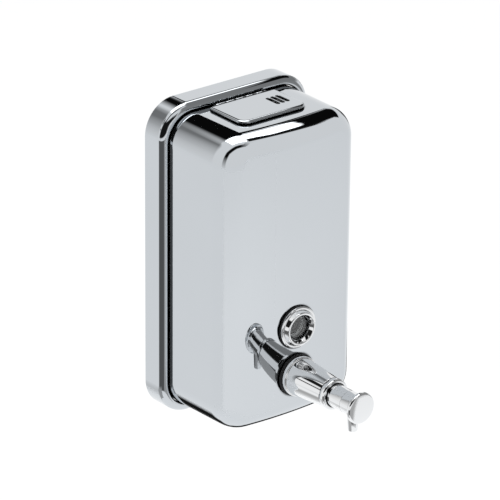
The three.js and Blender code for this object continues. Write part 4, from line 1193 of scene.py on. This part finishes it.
def collar(place, barrel_end):
    """The barrel's end collar and the seal in its groove."""
    bore, sleeve = PLUNGER.radius + RUNNING, VALVE.bore - FIT
    rear = barrel_end + FIT
    front = rear + COLLAR.length
    groove = rear + COLLAR.groove_start
    groove_end = groove + COLLAR.groove_length
    profile = eased([(bore, barrel_end - COLLAR.sleeve), (sleeve, barrel_end - COLLAR.sleeve),
                     (sleeve, rear), (COLLAR.rear, rear),
                     (COLLAR.radius, rear + COLLAR.rear_length), (COLLAR.radius, front),
                     (bore, front), (bore, groove_end), (COLLAR.groove, groove_end),
                     (COLLAR.groove, groove), (bore, groove)], COLLAR_EDGES)
    turned_piece("barrel_collar", profile, place, CHROME)
    turned_piece("collar_seal", band(bore, COLLAR.groove - FIT, groove + FIT, groove_end - FIT),
                 place, RUBBER)


def plunger(place):
    """The hollow plunger, and behind it the piston with its seal."""
    size = PLUNGER
    chamber_end = size.rear + size.chamber_length
    profile = eased([(size.chamber, size.rear), (size.spigot, size.rear),
                     (size.spigot, size.shoulder), (size.radius, size.shoulder),
                     (size.radius, size.front), (size.spigot, size.front),
                     (size.spigot, size.tip), (size.channel, size.tip),
                     (size.channel, chamber_end), (size.chamber, chamber_end)], PLUNGER_EDGES)
    turned_piece("plunger", profile, place, CHROME, "plunger")
    radius = VALVE.bore - FIT
    front = size.shoulder - FIT
    rear = front - PISTON.length
    groove = rear + PISTON.groove_start
    groove_end = groove + PISTON.groove_length
    socket = front - PISTON.socket
    profile = eased([(size.channel, rear), (radius, rear), (radius, groove),
                     (PISTON.groove, groove), (PISTON.groove, groove_end),
                     (radius, groove_end), (radius, front), (size.spigot + FIT, front),
                     (size.spigot + FIT, socket), (size.chamber, socket),
                     (size.channel, socket - PISTON.seat)], PISTON_EDGES)
    turned_piece("piston", profile, place, PLASTIC, "plunger")
    seal = band(PISTON.groove + FIT, VALVE.bore - RUNNING, groove + FIT, groove_end - FIT,
                SEAL_EDGES)
    turned_piece("piston_seal", seal, place, RUBBER, "plunger")


def push_head(place):
    """A waisted knob with a slightly domed face, and its spout pointing down."""
    flare_end = HEAD.rear + HEAD.hub_length
    back = flare_end + HEAD.flare
    edge = back + HEAD.thickness
    face = edge + HEAD.dome
    socket, socket_end = PLUNGER.spigot + FIT, HEAD.rear + HEAD.socket_length
    flare = arc(HEAD.hub + HEAD.flare, flare_end, HEAD.flare, HALF, QUARTER, 10)
    profile = [*eased([(socket, HEAD.rear), (HEAD.hub, HEAD.rear)], HUB_EDGES),
               *((u, v, 0) for u, v in flare[:-1]),
               *eased([(HEAD.radius, back), (HEAD.radius, edge),
                       (HEAD.dome_edge[0], edge + HEAD.dome_edge[1]), (0, face),
                       (0, face - HEAD.wall), (PLUNGER.channel, face - HEAD.wall),
                       (PLUNGER.channel, socket_end), (socket, socket_end)], HEAD_EDGES)]
    turned_piece("push_head", profile, place, CHROME, "plunger")
    axis = TANK.depth + HEAD.rear + SPOUT.setback
    down = lambda u, along, v: (u, v - axis, VALVE_Z - along)
    spout = eased([(SPOUT.bore, SPOUT.root[1]), SPOUT.root, SPOUT.waist, SPOUT.tip,
                   (SPOUT.bore, SPOUT.tip[1])], SPOUT_EDGES)
    piece("spout", turned("spout", spout, down, NOZZLE_STEPS), CHROME, "plunger")


def inlet(place, stub_end):
    """The housing inside the tank, its riser and the seat of the inlet ball."""
    front = stub_end - FIT
    housing = eased([(0, INLET.axis - INLET.housing), (INLET.housing, INLET.axis - INLET.housing),
                     (INLET.housing, front - INLET.shoulder), (STUB, front - INLET.shoulder),
                     (STUB, front), (VALVE.bore - FIT, front), (VALVE.bore - FIT, INLET.nose),
                     (INLET.bore, INLET.nose), (INLET.bore, INLET.bore_end),
                     (0, INLET.bore_end)], INLET_EDGES)
    turned_piece("inlet_housing", housing, place, PLASTIC)
    axis = TANK.depth + INLET.axis
    down = lambda u, along, v: (u, v - axis, VALVE_Z - along)
    riser = band(INLET.chamber, INLET.riser, *INLET.riser_span, RISER_EDGES)
    piece("inlet_riser", turned("inlet_riser", riser, down, NOZZLE_STEPS), PLASTIC)
    flange = INLET.riser_span[1] + FIT
    spigot = INLET.chamber - FIT
    seat = eased([(INLET.hole, flange - INLET.spigot), (spigot, flange - INLET.spigot),
                  (spigot, flange), (INLET.riser, flange), (INLET.riser, flange + INLET.flange),
                  (INLET.hole, flange + INLET.flange)], SEAT_EDGES)
    turned_piece("inlet_seat", seat, down, PLASTIC, steps=NOZZLE_STEPS)


def ball(node_name, centre):
    """A valve ball, which rides on the body of its own name."""
    profile = [(u, v, 0) for u, v in arc(0, 0, BALL_RADIUS, -QUARTER, QUARTER, 24)]
    place = lambda u, along, v: (centre[0] + u, centre[1] + v, centre[2] + along)
    turned_piece(node_name, profile, place, BRIGHT, node_name, SMALL_STEPS)


COIL_STEPS, WIRE_SIDES = 32, 12
CLOSED_TURNS = 0.4


def coil(node_name, size, place):
    """A round wire wound where the CAD coil lies, its end turns closed up. It is squeezed
    between the body at its rear end and the plunger."""
    low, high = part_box(node_name)
    start, end = -high.y / MM - TANK.depth, -low.y / MM - TANK.depth
    wire, turns = size.wire, size.turns
    rings = []
    total = turns * COIL_STEPS
    for i in range(total + 1):
        angle = TURN * i / COIL_STEPS
        opened = (i / total * turns - CLOSED_TURNS) / (turns - 2 * CLOSED_TURNS)
        along = start + wire / 2 + (end - start - wire) * min(max(opened, 0), 1)
        ring = []
        for k in range(WIRE_SIDES):
            turn = TURN * k / WIRE_SIDES
            reach = size.radius + wire / 2 * cos(turn)
            ring.append(place(reach * cos(angle), along + wire / 2 * sin(turn),
                              reach * sin(angle)))
        rings.append(ring)
    name = f"{node_name}_skin"
    spring_piece(name, capped(name, rings),
                 node_name)


back_pan()
tank()
mouth_lip()
back_plate()
wall_bracket()
hanger_rail()
lock_screw()
lid()
hinge()
latch()
window()
valve()
camera()
world()
floor()
studio()

scene = bpy.context.scene
scene.view_settings.view_transform = "Standard"
